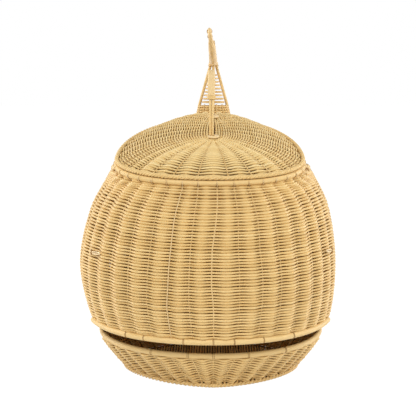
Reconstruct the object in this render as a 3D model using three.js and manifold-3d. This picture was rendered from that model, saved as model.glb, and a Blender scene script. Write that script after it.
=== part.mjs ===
// A lidded rattan basket in the shape of a whale, in millimetres, +Z up.
// The origin is on the floor under the middle of the woven base.
// The head looks along -Y and the tail along +Y.
import * as THREE from "three";
import { mergeVertices } from "three/addons/utils/BufferGeometryUtils.js";
import Module from "manifold-3d";

const wasm = await Module();
wasm.setup();

// Canes, walls and the clearance between pieces that touch.
const seatGap = 0.3;
const rimCaneRadius = 3.7;
const lidCaneRadius = 3.2;
const lipCaneRadius = 3.7;
const jawCaneRadius = 3.6;
const footCaneRadius = 2.8;
const wallThickness = 4.5;
const lidThickness = 4;
const baseThickness = 5;

// The weave stands out in a rib over each hidden stake and draws in between two of them.
const ribCount = 36;
const bodyRibDepth = 3.2;
const lidRibDepth = 1.7;

// Foot of the lower jaw, on the floor.
const footHalfWidth = 115.5;
const footFront = -110;
const footRear = 124;
const footFlatDepth = 0.5;
const footLean = -3;
const footSquareness = 1.2;
const footRearSquareness = 1;

// Rim of the lower jaw.
const jawRimFrontHeight = 45.6;
const mouthTiltDegrees = 2.5;
const jawRimHalfWidth = 146.5;
const jawRimFront = -132;
const jawRimRear = 160;
const jawRimLean = -3.5;
const jawSquareness = 0.95;
const jawBulge = 2;

// Upper body, ring by ring from the seat on the jaw to the neck under the lid.
// It is woven by hand and bellies out further to the left than to the right, which the leans give.
const lipFrontHeight = 68;
const lipCornerFront = -52;
const lipCornerRear = 22;
const lowerEdgeHalfWidth = 138.5;
const lowerEdgeFront = -136;
const lowerEdgeRear = 145;
const lowerEdgeLean = -3.5;
const lipLineHeight = 78;
const lipLineHalfWidth = 161;
const lipLineFront = -160;
const lipLineRear = 172;
const lipLineLean = -4;
const bellyHeight = 145;
const bellyHalfWidth = 170.5;
const bellyFront = -172;
const bellyRear = 193;
const bellyLean = -7.3;
const shoulderJoinHeight = 200;
const shoulderHeight = 212;
const shoulderHalfWidth = 160;
const shoulderFront = -159;
const shoulderRear = 201;
const shoulderLean = -4.8;
const upperFrontHeight = 240;
const upperRearClimb = 28;
const upperRearHeight = upperFrontHeight + upperRearClimb;
const upperHalfWidth = 140.5;
const upperFront = -139;
const upperRear = 193;
const upperLean = -3;
const neckAboveUpper = 12;
const neckRearClimb = 51;
const neckFrontHeight = upperFrontHeight + neckAboveUpper;
const neckRearHeight = neckFrontHeight + neckRearClimb;
const neckHalfWidth = 124;
const neckFront = -121;
const neckRear = 174;
const neckLean = -4;

// Oval of the top opening, which climbs towards the tail.
const rimHalfWidth = 120.5;
const rimFront = -115;
const rimRear = 155;
const rimAboveNeck = 6.5;
const rimFrontHeight = neckFrontHeight + rimAboveNeck;
const rimTiltDegrees = 12.8;
const rimSquareness = 0.88;
const rimRearSquareness = 1;
const rimLean = -4.5;
const rimRearLean = -3;
const rimWaist = 0.38;
const bodySquareness = 0.9;

// Woven tail root and the open tail stock above it.
const tailBaseHeight = 105;
const tailBaseCentre = 88;
const tailBaseHalfWidth = 90;
const tailBaseHalfDepth = 88;
const tailLowHeight = 180;
const tailLowCentre = 146;
const tailLowHalfWidth = 82;
const tailLowHalfDepth = 68;
const tailMidHeight = 250;
const tailMidCentre = 186;
const tailMidHalfWidth = 58;
const tailMidHalfDepth = 50;
const tailNeckHeight = 305;
const tailNeckCentre = 204;
const tailNeckHalfWidth = 34;
const tailNeckHalfDepth = 33;
const tailTopHeight = 347;
const tailTopCentre = 211;
const tailTopHalfWidth = 22.4;
const tailTopHalfDepth = 23;
const tailStockLength = 61;
const tailApexHeight = tailTopHeight + tailStockLength;
const tailApexCentre = 216;
const tailApexHalfWidth = 5.3;
const tailApexHalfDepth = 5.5;
const tailCaneRadius = 2.1;
const slatRadius = 1.3;
const slatCount = 9;
const slatPitch = 5;
const tailBindingWidth = 5;
const tailBindingWall = 0.8;

// Flukes, flat in the middle plane of the whale.
const flukeLeanDegrees = -7;
const flukeFrontReach = 88;
const flukeFrontRise = 41;
const flukeRearReach = 82;
const flukeRearRise = 38;
const flukeNotchRise = 23;
const flukeFrameRadius = 3;
const flukeSideCaneRadius = 1.5;
const flukeSideShare = 0.235;
const flukeSideRootTuckDegrees = 6;
const flukeSideTipTuckDegrees = 62;
const flukeWebThickness = 4;

// Domed lid, measured square to the tilted opening.
const lidSpineHalfLength = 54;
const domeRise = 24;
const domePower = 2.8;

// Arched handle on the lid.
const handleFootSpread = 50;
const handleHeight = 106;
const handleCaneRadius = 1.45;
const handleShift = -2.4;
const handleSquareness = 0.8;
const gripStart = 0.225;
const gripWall = 0.5;
const bindingShare = 0.025;
const bindingWall = 1.3;
const bindingGap = 0.003;
const hubRadius = 8;
const hubHeight = 3;

// Eyes.
const eyeHeight = 169;
const eyeInsideBelly = 24;
const eyeSpread = bellyHalfWidth - eyeInsideBelly;
const eyeSeatDepth = 0.5;
const eyeRingRadius = 6.5;
const eyeCaneRadius = 1.7;
const eyeBarRadius = 1.5;

// Facets of the rings, canes and lid.
const ringSteps = 48;
const bodyRings = 11;
const caneSides = 6;

const rattan = new THREE.Color(0xe3bb7c);
const paleRattan = new THREE.Color(0xecc98f);
const darkRattan = new THREE.Color(0x9a6a35);
const rimTilt = THREE.MathUtils.degToRad(rimTiltDegrees);
const rimCentre = (rimFront + rimRear) / 2;
const rimHalfLength = (rimRear - rimFront) / 2;

const caneMaterial = (colour) =>
  new THREE.MeshStandardMaterial({ color: colour, roughness: 0.55, metalness: 0 });

function namedMesh(name, geometry, colour = rattan) {
  const mesh = new THREE.Mesh(geometry, caneMaterial(colour));
  mesh.name = name;
  return mesh;
}

// Geometry from a list of points and triangles, with shared corners merged.
function solidFrom(points, triangles) {
  const geometry = new THREE.BufferGeometry();
  const numbers = points.flatMap((p) => [p.x, p.y, p.z]);
  geometry.setAttribute("position", new THREE.Float32BufferAttribute(numbers, 3));
  geometry.setIndex(triangles);
  return geometry;
}

function toManifold(geometry) {
  const bare = geometry.clone();
  bare.deleteAttribute("normal");
  bare.deleteAttribute("uv");
  const merged = mergeVertices(bare, 1e-3);
  return new wasm.Manifold(
    new wasm.Mesh({
      numProp: 3,
      vertProperties: merged.attributes.position.array,
      triVerts: new Uint32Array(merged.index.array),
    }),
  );
}

function fromManifold(solid) {
  const mesh = solid.getMesh();
  const geometry = new THREE.BufferGeometry();
  const corners = [];
  for (let i = 0; i < mesh.vertProperties.length; i += mesh.numProp) {
    corners.push(...mesh.vertProperties.slice(i, i + 3));
  }
  geometry.setAttribute("position", new THREE.Float32BufferAttribute(corners, 3));
  geometry.setIndex([...mesh.triVerts]);
  return geometry;
}

// Side faces between rings of equal length, which run counter-clockwise seen from above, bottom ring first.
function ringFaces(ringCount, steps, closedLoop = false) {
  const triangles = [];
  const last = closedLoop ? ringCount : ringCount - 1;
  for (let ring = 0; ring < last; ring++) {
    const low = ring * steps;
    const high = ((ring + 1) % ringCount) * steps;
    for (let i = 0; i < steps; i++) {
      const next = (i + 1) % steps;
      triangles.push(low + i, low + next, high + next);
      triangles.push(low + i, high + next, high + i);
    }
  }
  return triangles;
}

// Solid between a stack of rings, closed at both ends.
function loftSolid(rings) {
  const steps = rings[0].length;
  const points = rings.flat();
  const triangles = ringFaces(rings.length, steps);
  const endCentres = [rings[0], rings[rings.length - 1]].map((ring) =>
    ring.reduce((sum, p) => sum.add(p), new THREE.Vector3()).divideScalar(steps),
  );
  const bottomCentre = points.push(endCentres[0]) - 1;
  const topCentre = points.push(endCentres[1]) - 1;
  const top = (rings.length - 1) * steps;
  for (let i = 0; i < steps; i++) {
    const next = (i + 1) % steps;
    triangles.push(bottomCentre, next, i);
    triangles.push(topCentre, top + i, top + next);
  }
  return solidFrom(points, triangles);
}

// Wall between an outer stack of rings and an inner one, open at top and bottom.
function wallSolid(outerRings, innerRings) {
  const loop = [...outerRings, ...[...innerRings].reverse()];
  return solidFrom(loop.flat(), ringFaces(loop.length, loop[0].length, true));
}

class PointPath extends THREE.Curve {
  constructor(pointAt) {
    super();
    this.pointAt = pointAt;
  }
  getPoint(t, target = new THREE.Vector3()) {
    return target.copy(this.pointAt(t));
  }
}

// Cane that closes on itself: a ring of sections square to the loop.
function caneLoop(pointAt, radius, steps = ringSteps, sides = caneSides, up = new THREE.Vector3(0, 0, 1)) {
  const rings = [];
  for (let i = 0; i < steps; i++) {
    const centre = pointAt(i / steps);
    const ahead = pointAt(((i + 0.5) / steps) % 1);
    const behind = pointAt(((i - 0.5 + steps) / steps) % 1);
    const along = ahead.clone().sub(behind).normalize();
    const side = new THREE.Vector3().crossVectors(along, up).normalize();
    const lift = new THREE.Vector3().crossVectors(side, along).normalize();
    const ring = [];
    for (let k = 0; k < sides; k++) {
      const angle = (2 * Math.PI * (k + 0.5)) / sides;
      ring.push(
        centre
          .clone()
          .addScaledVector(side, radius * Math.cos(angle))
          .addScaledVector(lift, radius * Math.sin(angle)),
      );
    }
    rings.push(ring);
  }
  return facingOut(solidFrom(rings.flat(), ringFaces(steps, sides, true)));
}

// Cane with two cut ends, swept along a path.
function caneLength(pointAt, radius, steps, sides = caneSides) {
  const section = new THREE.Shape();
  for (let k = 0; k < sides; k++) {
    const angle = (2 * Math.PI * (k + 0.5)) / sides;
    const corner = [radius * Math.cos(angle), radius * Math.sin(angle)];
    if (k === 0) section.moveTo(...corner);
    else section.lineTo(...corner);
  }
  section.closePath();
  return new THREE.ExtrudeGeometry(section, { steps, extrudePath: new PointPath(pointAt) });
}

function facingOut(geometry) {
  const position = geometry.getAttribute("position");
  const [a, b, c] = [new THREE.Vector3(), new THREE.Vector3(), new THREE.Vector3()];
  let volume = 0;
  for (let i = 0; i < geometry.index.count; i += 3) {
    a.fromBufferAttribute(position, geometry.index.getX(i));
    b.fromBufferAttribute(position, geometry.index.getX(i + 1));
    c.fromBufferAttribute(position, geometry.index.getX(i + 2));
    volume += a.dot(b.cross(c));
  }
  if (volume < 0) {
    const order = [...geometry.index.array];
    for (let i = 0; i < order.length; i += 3) [order[i + 1], order[i + 2]] = [order[i + 2], order[i + 1]];
    geometry.setIndex(order);
  }
  return geometry;
}

// Squared oval in plan: the angle is 0 at the nose and runs counter-clockwise seen from above.
// The waist is how far its widest line lies ahead of the middle, as a share of the half length.
const softPower = (value, power) => Math.sign(value) * Math.abs(value) ** power;

function ovalPoint(angle, oval) {
  const { halfWidth, front, rear, lean = 0, rearLean = 0, waist = 0 } = oval;
  const { squareness, rearSquareness = squareness } = oval;
  const ahead = Math.cos(angle) > 0;
  const power = ahead ? squareness : rearSquareness;
  const halfLength = (rear - front) / 2;
  const reach = halfLength * (ahead ? 1 - waist : 1 + waist);
  const shift = lean * Math.abs(Math.sin(angle)) ** 1.5 + rearLean * Math.min(0, Math.cos(angle)) ** 2;
  const x = halfWidth * softPower(Math.sin(angle), power) + shift;
  const y = (front + rear) / 2 - waist * halfLength - reach * softPower(Math.cos(angle), power);
  return new THREE.Vector2(x, y);
}

// Two corners of a ribbed ring make one rib: the even corner lies in the groove, the odd one on the crest.
const ribSteps = 2 * ribCount;
const grooveAt = (corner, depth) => (corner % 2 === 0 ? depth : 0);

const rimHeightAt = (y) => rimFrontHeight + Math.tan(rimTilt) * (y - rimFront);

// The jaw's rim and the lip over it climb a little from the nose towards the tail.
const mouthSlope = Math.tan(THREE.MathUtils.degToRad(mouthTiltDegrees));
const jawRimHeightAt = (y) => jawRimFrontHeight + mouthSlope * (y - jawRimFront);

// A ring may climb from its front to its rear, and meets the rim plane at the last one.
const stationKeys = [
  "halfWidth",
  "front",
  "rear",
  "frontHeight",
  "rearHeight",
  "lean",
  "rearLean",
  "waist",
  "squareness",
  "rearSquareness",
];
const level = (height) => [height, height];
const jawForm = [0, 0, jawSquareness, jawSquareness];
const bodyForm = [0, 0, bodySquareness, bodySquareness];
const rimForm = [rimRearLean, rimWaist, rimSquareness, rimRearSquareness];
const lowerEdgeHeights = [jawRimHeightAt(lowerEdgeFront), jawRimHeightAt(lowerEdgeRear)];
const bodyStations = [
  [lowerEdgeHalfWidth, lowerEdgeFront, lowerEdgeRear, ...lowerEdgeHeights, lowerEdgeLean, ...jawForm],
  [lipLineHalfWidth, lipLineFront, lipLineRear, ...level(lipLineHeight), lipLineLean, ...jawForm],
  [bellyHalfWidth, bellyFront, bellyRear, ...level(bellyHeight), bellyLean, ...bodyForm],
  [shoulderHalfWidth, shoulderFront, shoulderRear, ...level(shoulderHeight), shoulderLean, ...bodyForm],
  [upperHalfWidth, upperFront, upperRear, upperFrontHeight, upperRearHeight, upperLean, ...bodyForm],
  [neckHalfWidth, neckFront, neckRear, neckFrontHeight, neckRearHeight, neckLean, ...rimForm],
  [rimHalfWidth, rimFront, rimRear, rimFrontHeight, rimHeightAt(rimRear), rimLean, ...rimForm],
];

// Smooth curve through one column of a list of stations, read by a share from 0 to 1.
const curveThrough = (stations, column) =>
  new THREE.SplineCurve(stations.map((station, i) => new THREE.Vector2(i, station[column])));
const bodyCurves = stationKeys.map((_, column) => curveThrough(bodyStations, column));

function bodyPoint(share, angle, inset = 0) {
  const at = THREE.MathUtils.clamp(share, 0, 1);
  const oval = Object.fromEntries(stationKeys.map((key, i) => [key, bodyCurves[i].getPoint(at).y]));
  oval.halfWidth -= inset;
  oval.front += inset;
  oval.rear -= inset;
  const flat = ovalPoint(angle, oval);
  const climb = (flat.y - oval.front) / (oval.rear - oval.front);
  return new THREE.Vector3(flat.x, flat.y, THREE.MathUtils.lerp(oval.frontHeight, oval.rearHeight, climb));
}

// Level at which a meridian reaches a height, found by halving.
function levelAtHeight(angle, height) {
  let low = 0;
  let high = 1;
  for (let i = 0; i < 24; i++) {
    const middle = (low + high) / 2;
    if (bodyPoint(middle, angle).z < height) low = middle;
    else high = middle;
  }
  return (low + high) / 2;
}

// The upper lip stands clear of the jaw round the front and dips on to its rim at the mouth's corners.
const lipSeatRise = jawCaneRadius + lipCaneRadius + seatGap;
const lipHeightAt = (y) =>
  THREE.MathUtils.lerp(
    lipFrontHeight + mouthSlope * (y - lipLineFront),
    jawRimHeightAt(y) + lipSeatRise,
    THREE.MathUtils.smoothstep(y, lipCornerFront, lipCornerRear),
  );

function lipPoint(turn) {
  const angle = 2 * Math.PI * turn;
  let point = bodyPoint(levelAtHeight(angle, lipFrontHeight), angle);
  for (let i = 0; i < 6; i++) point = bodyPoint(levelAtHeight(angle, lipHeightAt(point.y)), angle);
  return new THREE.Vector3(point.x, point.y, lipHeightAt(point.y));
}

// Each ring of the body runs between the lip's top edge and the underside of the rim cane.
function bodyRingSet(inset, extraBelow = 0, extraAbove = 0, ribDepth = 0) {
  const rings = [];
  for (let j = 0; j <= bodyRings; j++) rings.push([]);
  const below = [];
  const above = [];
  for (let i = 0; i < ribSteps; i++) {
    const turn = i / ribSteps;
    const angle = 2 * Math.PI * turn;
    const lip = lipPoint(turn);
    const along = lipPoint(turn + 0.004).sub(lipPoint(turn - 0.004)).normalize();
    const clearOfLip = (lipCaneRadius + seatGap) / Math.hypot(along.x, along.y);
    const start = levelAtHeight(angle, lip.z + clearOfLip);
    for (let j = 0; j <= bodyRings; j++) {
      const level = THREE.MathUtils.lerp(start, 1, j / bodyRings);
      const point = bodyPoint(level, angle, inset + grooveAt(i, ribDepth));
      point.z -= (j / bodyRings) * (rimCaneRadius + seatGap);
      rings[j].push(point);
    }
    below.push(rings[0][i].clone().setZ(rings[0][i].z - extraBelow));
    above.push(rings[bodyRings][i].clone().setZ(rings[bodyRings][i].z + extraAbove));
  }
  if (extraBelow) rings.unshift(below);
  if (extraAbove) rings.push(above);
  return rings;
}

// The tail is a curved cone: level ovals from deep in the back of the body to its apex.
const tailStations = [
  [tailBaseHeight, tailBaseCentre, tailBaseHalfWidth, tailBaseHalfDepth],
  [tailLowHeight, tailLowCentre, tailLowHalfWidth, tailLowHalfDepth],
  [tailMidHeight, tailMidCentre, tailMidHalfWidth, tailMidHalfDepth],
  [tailNeckHeight, tailNeckCentre, tailNeckHalfWidth, tailNeckHalfDepth],
  [tailTopHeight, tailTopCentre, tailTopHalfWidth, tailTopHalfDepth],
];
const tailApex = [tailApexHeight, tailApexCentre, tailApexHalfWidth, tailApexHalfDepth];
const tailTop = tailStations[tailStations.length - 1];
const tailCurves = tailTop.map((_, column) => curveThrough(tailStations, column));

// The root is a smooth curve through its stations, and the open stock above it is straight.
function tailSizeAt(height) {
  if (height >= tailTopHeight) {
    const share = (height - tailTopHeight) / (tailApexHeight - tailTopHeight);
    return tailTop.map((value, k) => THREE.MathUtils.lerp(value, tailApex[k], share));
  }
  let low = 0;
  let high = 1;
  for (let i = 0; i < 24; i++) {
    const middle = (low + high) / 2;
    if (tailCurves[0].getPoint(middle).y < height) low = middle;
    else high = middle;
  }
  return tailCurves.map((curve) => curve.getPoint(low).y);
}

function tailPoint(height, angle, inset = 0) {
  const [, centre, halfWidth, halfDepth] = tailSizeAt(height);
  const x = (halfWidth - inset) * Math.sin(angle);
  const y = centre - (halfDepth - inset) * Math.cos(angle);
  return new THREE.Vector3(x, y, height);
}

const tailSteps = 28;
const tailRings = 10;
const stockSteps = 16;

function tailCone(inset, extraAbove) {
  const heights = Array.from({ length: tailRings + 1 }, (_, j) =>
    THREE.MathUtils.lerp(tailBaseHeight, tailTopHeight, j / tailRings),
  );
  if (extraAbove) heights.push(tailTopHeight + extraAbove);
  const rings = heights.map((height) =>
    Array.from({ length: tailSteps }, (_, i) => tailPoint(height, (2 * Math.PI * i) / tailSteps, inset)),
  );
  return toManifold(loftSolid(rings));
}

// Upper body: a woven wall in two stages, open at the mouth, the top and into the tail root behind.
function bodyPieces() {
  const overrun = 30;
  const tailHollow = tailCone(wallThickness, slatPitch);
  const outer = toManifold(loftSolid(bodyRingSet(0, 0, 0, bodyRibDepth)));
  const inner = toManifold(loftSolid(bodyRingSet(wallThickness, overrun, overrun)));
  const wall = outer.subtract(inner).subtract(tailHollow);
  const seat = toManifold(loftSolid(bodyRingSet(-seatGap, overrun, overrun, bodyRibDepth)));
  return {
    belly: fromManifold(wall.trimByPlane([0, 0, -1], -shoulderJoinHeight)),
    shoulder: fromManifold(wall.trimByPlane([0, 0, 1], shoulderJoinHeight + seatGap)),
    tailRoot: fromManifold(tailCone(0, 0).subtract(seat).subtract(tailHollow)),
  };
}

const rimPoint = (turn) => bodyPoint(1, 2 * Math.PI * turn);

// Lower jaw: a bowl with a little belly between the foot and the rim cane.
function jawPoint(share, angle, inset = 0) {
  const belly = jawBulge * Math.sin(Math.PI * share);
  const flat = ovalPoint(angle, {
    halfWidth: THREE.MathUtils.lerp(footHalfWidth, jawRimHalfWidth, share) + belly - inset,
    front: THREE.MathUtils.lerp(footFront, jawRimFront, share) - belly + inset,
    rear: THREE.MathUtils.lerp(footRear, jawRimRear, share) + belly - inset,
    lean: THREE.MathUtils.lerp(footLean, jawRimLean, share),
    squareness: THREE.MathUtils.lerp(footSquareness, jawSquareness, share),
    rearSquareness: THREE.MathUtils.lerp(footRearSquareness, jawSquareness, share),
  });
  const low = 2 * footCaneRadius - footFlatDepth + seatGap;
  const high = jawRimHeightAt(flat.y) - jawCaneRadius - seatGap;
  return new THREE.Vector3(flat.x, flat.y, THREE.MathUtils.lerp(low, high, share));
}

function jawWall() {
  const jawRings = 5;
  const stack = (inset) =>
    Array.from({ length: jawRings + 1 }, (_, j) =>
      Array.from({ length: ringSteps }, (_, i) =>
        jawPoint(j / jawRings, (2 * Math.PI * i) / ringSteps, inset),
      ),
    );
  return wallSolid(stack(-wallThickness / 2), stack(wallThickness / 2));
}

const jawRimPoint = (turn) => {
  const flat = ovalPoint(2 * Math.PI * turn, jawRimOval);
  return new THREE.Vector3(flat.x, flat.y, jawRimHeightAt(flat.y));
};

const jawRimOval = {
  halfWidth: jawRimHalfWidth,
  front: jawRimFront,
  rear: jawRimRear,
  lean: jawRimLean,
  squareness: jawSquareness,
};

const footOval = (inset) => ({
  halfWidth: footHalfWidth - inset,
  front: footFront + inset,
  rear: footRear - inset,
  lean: footLean,
  squareness: footSquareness,
  rearSquareness: footRearSquareness,
});

function flatOvalLoop(oval, height) {
  return (turn) => {
    const flat = ovalPoint(2 * Math.PI * turn, oval);
    return new THREE.Vector3(flat.x, flat.y, height);
  };
}

// Foot border: a thick cane ring, cut flat where it stands.
function footBorder() {
  const path = flatOvalLoop(footOval(0), footCaneRadius - footFlatDepth);
  const ring = toManifold(caneLoop(path, footCaneRadius));
  const reach = 4 * footHalfWidth;
  const floor = new THREE.BoxGeometry(reach, reach, reach).translate(0, 0, -reach / 2);
  return fromManifold(ring.subtract(toManifold(floor)));
}

// Woven base, flush with the floor inside the foot border.
function basePanel() {
  const oval = footOval(footCaneRadius + seatGap);
  const ring = (height) =>
    Array.from({ length: ringSteps }, (_, i) => flatOvalLoop(oval, height)(i / ringSteps));
  return loftSolid([ring(0), ring(baseThickness)]);
}

// The lid's own frame: x across, y towards the tail along the opening's plane, z square to that plane.
const lidHalfLength = rimHalfLength / Math.cos(rimTilt);
const lidCaneHeight = rimCaneRadius + lidCaneRadius + seatGap;

// The border cane lies on the rim cane, and the woven dome's edge meets it half way up.
const lidEdgeHeight = lidCaneHeight + lidThickness / 2;

const lidOval = (inset) => ({
  halfWidth: rimHalfWidth - inset,
  front: -lidHalfLength + inset,
  rear: lidHalfLength - inset,
  lean: rimLean,
  rearLean: rimRearLean,
  waist: rimWaist,
  squareness: rimSquareness,
  rearSquareness: rimRearSquareness,
});

// The share runs from 0 on the spine to 1 at the dome's edge.
const lidSpine = {
  ...lidOval(0),
  halfWidth: 0,
  front: -lidSpineHalfLength,
  rear: lidSpineHalfLength,
  lean: 0,
  rearLean: 0,
};

function lidPoint(share, angle, inset = 0, drop = 0) {
  const flat = ovalPoint(angle, lidSpine).lerp(ovalPoint(angle, lidOval(inset)), share);
  const rise = domeRise * (1 - share ** domePower);
  return new THREE.Vector3(flat.x, flat.y, lidEdgeHeight + rise - drop);
}

function lidShell() {
  const lidRings = 8;
  const edgeInset = lidCaneRadius + seatGap;
  const grid = (inset, drop, ribDepth) =>
    Array.from({ length: lidRings + 1 }, (_, j) =>
      Array.from({ length: ribSteps }, (_, i) =>
        lidPoint(1 - j / lidRings, (2 * Math.PI * i) / ribSteps, inset, drop + grooveAt(i, ribDepth)),
      ),
    );
  const outer = grid(edgeInset, 0, lidRibDepth);
  const inner = grid(edgeInset + lidThickness / 2, lidThickness, 0).reverse();
  const rings = [...inner, ...outer];
  return mergeVertices(solidFrom(rings.flat(), ringFaces(rings.length, ribSteps)), 1e-3);
}

function lidBorderPoint(turn) {
  const flat = ovalPoint(2 * Math.PI * turn, lidOval(0));
  return new THREE.Vector3(flat.x, flat.y, lidCaneHeight);
}

// Height of the dome over its spine line, in the lid's frame.
function domeHeightAt(along) {
  const past = Math.max(0, Math.abs(along) - lidSpineHalfLength);
  const share = past / (lidHalfLength - lidSpineHalfLength);
  return lidEdgeHeight + domeRise * (1 - share ** domePower);
}

// Round woven boss under each end of the handle.
function hubBoss(along) {
  const profile = [
    new THREE.Vector2(0, 0),
    new THREE.Vector2(hubRadius, 0),
    new THREE.Vector2(hubRadius * 0.85, hubHeight * 0.6),
    new THREE.Vector2(hubRadius * 0.5, hubHeight),
    new THREE.Vector2(0, hubHeight),
  ];
  const geometry = new THREE.LatheGeometry(profile, 16);
  return geometry.rotateX(Math.PI / 2).translate(0, along, domeHeightAt(along) + seatGap);
}

// The handle is half a squared oval, from one boss to the other, made of two canes side by side.
const handleFootHeight = domeHeightAt(handleFootSpread) + hubHeight + 2 * seatGap;
const handleSpacing = handleCaneRadius + seatGap / 2;

function handlePoint(turn, sideways = 0) {
  const angle = Math.PI * (1 - turn);
  const along = handleFootSpread * softPower(Math.cos(angle), handleSquareness);
  const rise = (handleHeight - handleFootHeight) * Math.max(0, Math.sin(angle)) ** handleSquareness;
  return new THREE.Vector3(handleShift + sideways, along, handleFootHeight + rise);
}

// Wrapping round both handle canes, over a stretch of the arch.
function handleWrap(from, to, wall, steps, sides = 8) {
  const halfThickness = handleCaneRadius + seatGap;
  const halfWidth = halfThickness + handleSpacing;
  const tube = (extra) =>
    Array.from({ length: steps + 1 }, (_, j) => {
      const turn = THREE.MathUtils.lerp(from, to, j / steps);
      const centre = handlePoint(turn);
      const along = handlePoint(turn + 0.005).sub(handlePoint(turn - 0.005)).normalize();
      const across = new THREE.Vector3(1, 0, 0);
      const lift = new THREE.Vector3().crossVectors(across, along);
      return Array.from({ length: sides }, (_, k) => {
        const angle = (2 * Math.PI * (k + 0.5)) / sides;
        const reach = Math.SQRT2 / 1.0824;
        return centre
          .clone()
          .addScaledVector(across, (halfWidth * reach + extra) * softPower(Math.cos(angle), 0.6))
          .addScaledVector(lift, (halfThickness * reach + extra) * softPower(Math.sin(angle), 0.6));
      });
    });
  return facingOut(wallSolid(tube(wall), tube(0)));
}

// Four canes stand on the tail's woven wall and close in towards the apex.
function tailCane(quarter) {
  const pathAt = (height) => tailPoint(height, (quarter * Math.PI) / 2, tailCaneRadius);
  const run = pathAt(tailApexHeight).sub(pathAt(tailTopHeight)).normalize();
  const endDip = tailCaneRadius * Math.hypot(run.x, run.y);
  const foot = tailTopHeight + seatGap + endDip;
  const head = tailApexHeight - endDip;
  return caneLength((t) => pathAt(THREE.MathUtils.lerp(foot, head, t)), tailCaneRadius, 4);
}

// Level ring of cane woven inside the four tail canes.
function tailSlat(index) {
  const height = tailTopHeight + (index + 0.6) * slatPitch;
  const inset = 2 * tailCaneRadius + seatGap + slatRadius;
  return caneLoop((turn) => tailPoint(height, 2 * Math.PI * turn, inset), slatRadius, stockSteps, 5);
}

// Cane wound round the four tail canes just under the flukes.
function tailBinding() {
  const bottom = tailApexHeight - tailBindingWidth;
  const stack = (extra) =>
    [bottom, bottom + tailBindingWidth].map((height) =>
      Array.from({ length: stockSteps }, (_, i) => tailPoint(height, (2 * Math.PI * i) / stockSteps, -extra)),
    );
  const clearance = 1.5 * seatGap;
  return wallSolid(stack(clearance + tailBindingWall), stack(clearance));
}

// Crescent outline of the flukes in their own frame: y along the whale, z up from the root.
const flukeRoot = flukeFrameRadius;
const flukeOutline = new THREE.CatmullRomCurve3(
  [
    [0, 0],
    [-0.4 * flukeFrontReach, 0.1 * flukeFrontRise],
    [-0.8 * flukeFrontReach, 0.5 * flukeFrontRise],
    [-flukeFrontReach, flukeFrontRise - 2],
    [-0.9 * flukeFrontReach, flukeFrontRise],
    [-0.45 * flukeFrontReach, 0.92 * flukeFrontRise],
    [0, flukeNotchRise],
    [0.45 * flukeRearReach, 0.92 * flukeRearRise],
    [0.9 * flukeRearReach, flukeRearRise],
    [flukeRearReach, flukeRearRise - 2],
    [0.8 * flukeRearReach, 0.5 * flukeRearRise],
    [0.4 * flukeRearReach, 0.1 * flukeRearRise],
  ].map(([y, z]) => new THREE.Vector3(0, y, z + flukeRoot)),
  true,
  "centripetal",
);
const acrossFluke = new THREE.Vector3(1, 0, 0);
const flukePoint = (turn) => flukeOutline.getPointAt(((turn % 1) + 1) % 1);

function flukeFrame() {
  return caneLoop(flukePoint, flukeFrameRadius, 56, caneSides, acrossFluke);
}

// Woven panel inside the frame: the outline drawn in by the cane, without the corners that it can't reach.
function flukeWeb() {
  const inset = flukeFrameRadius + 2 * seatGap;
  const fine = flukeOutline.getSpacedPoints(400);
  const corners = [];
  for (let i = 0; i < 60; i++) {
    const point = flukePoint(i / 60);
    const along = flukePoint(i / 60 + 0.002).sub(flukePoint(i / 60 - 0.002)).normalize();
    const inward = new THREE.Vector3().crossVectors(along, acrossFluke);
    const corner = point.addScaledVector(inward, inset);
    const clearance = Math.min(...fine.map((p) => p.distanceTo(corner)));
    if (clearance > 0.97 * inset) corners.push(new THREE.Vector2(corner.y, corner.z));
  }
  const panel = new THREE.ExtrudeGeometry(new THREE.Shape(corners), {
    depth: flukeWebThickness,
    bevelEnabled: false,
  });
  panel.translate(0, 0, -flukeWebThickness / 2);
  const turned = new THREE.Matrix4().makeBasis(
    new THREE.Vector3(0, 1, 0),
    new THREE.Vector3(0, 0, 1),
    new THREE.Vector3(1, 0, 0),
  );
  return panel.applyMatrix4(turned);
}

// Two outer canes run along the flukes' leading edges.
// They lie beside the frame at the root and close in under it towards the tips.
function flukeSideCane(side) {
  const offset = flukeFrameRadius + seatGap + flukeSideCaneRadius;
  const pathAt = (t) => {
    const share = THREE.MathUtils.lerp(-flukeSideShare, flukeSideShare, t);
    const tuckDegrees = THREE.MathUtils.lerp(
      flukeSideRootTuckDegrees,
      flukeSideTipTuckDegrees,
      Math.abs(2 * t - 1),
    );
    const tuck = THREE.MathUtils.degToRad(tuckDegrees);
    const along = flukePoint(share + 0.002).sub(flukePoint(share - 0.002)).normalize();
    const outward = new THREE.Vector3().crossVectors(acrossFluke, along);
    return flukePoint(share)
      .addScaledVector(acrossFluke, side * offset * Math.cos(tuck))
      .addScaledVector(outward, offset * Math.sin(tuck));
  };
  return caneLength(pathAt, flukeSideCaneRadius, 24);
}

// Point on the body with the direction square to its wall.
function bodyFrameAt(angle, height) {
  const level = levelAtHeight(angle, height);
  const point = bodyPoint(level, angle);
  const round = bodyPoint(level, angle + 0.01).sub(bodyPoint(level, angle - 0.01));
  const rising = bodyPoint(level + 0.01, angle).sub(bodyPoint(level - 0.01, angle));
  return { point, outward: round.cross(rising).normalize(), rising: rising.normalize() };
}

// Angle at which the body at a height is a given distance from the middle plane, found by halving.
function angleAtSpread(side, spread, height) {
  let low = 0;
  let high = Math.PI / 2;
  for (let i = 0; i < 24; i++) {
    const middle = (low + high) / 2;
    const reach = Math.abs(bodyPoint(levelAtHeight(side * middle, height), side * middle).x);
    if (reach < spread) low = middle;
    else high = middle;
  }
  return side * low;
}

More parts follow.
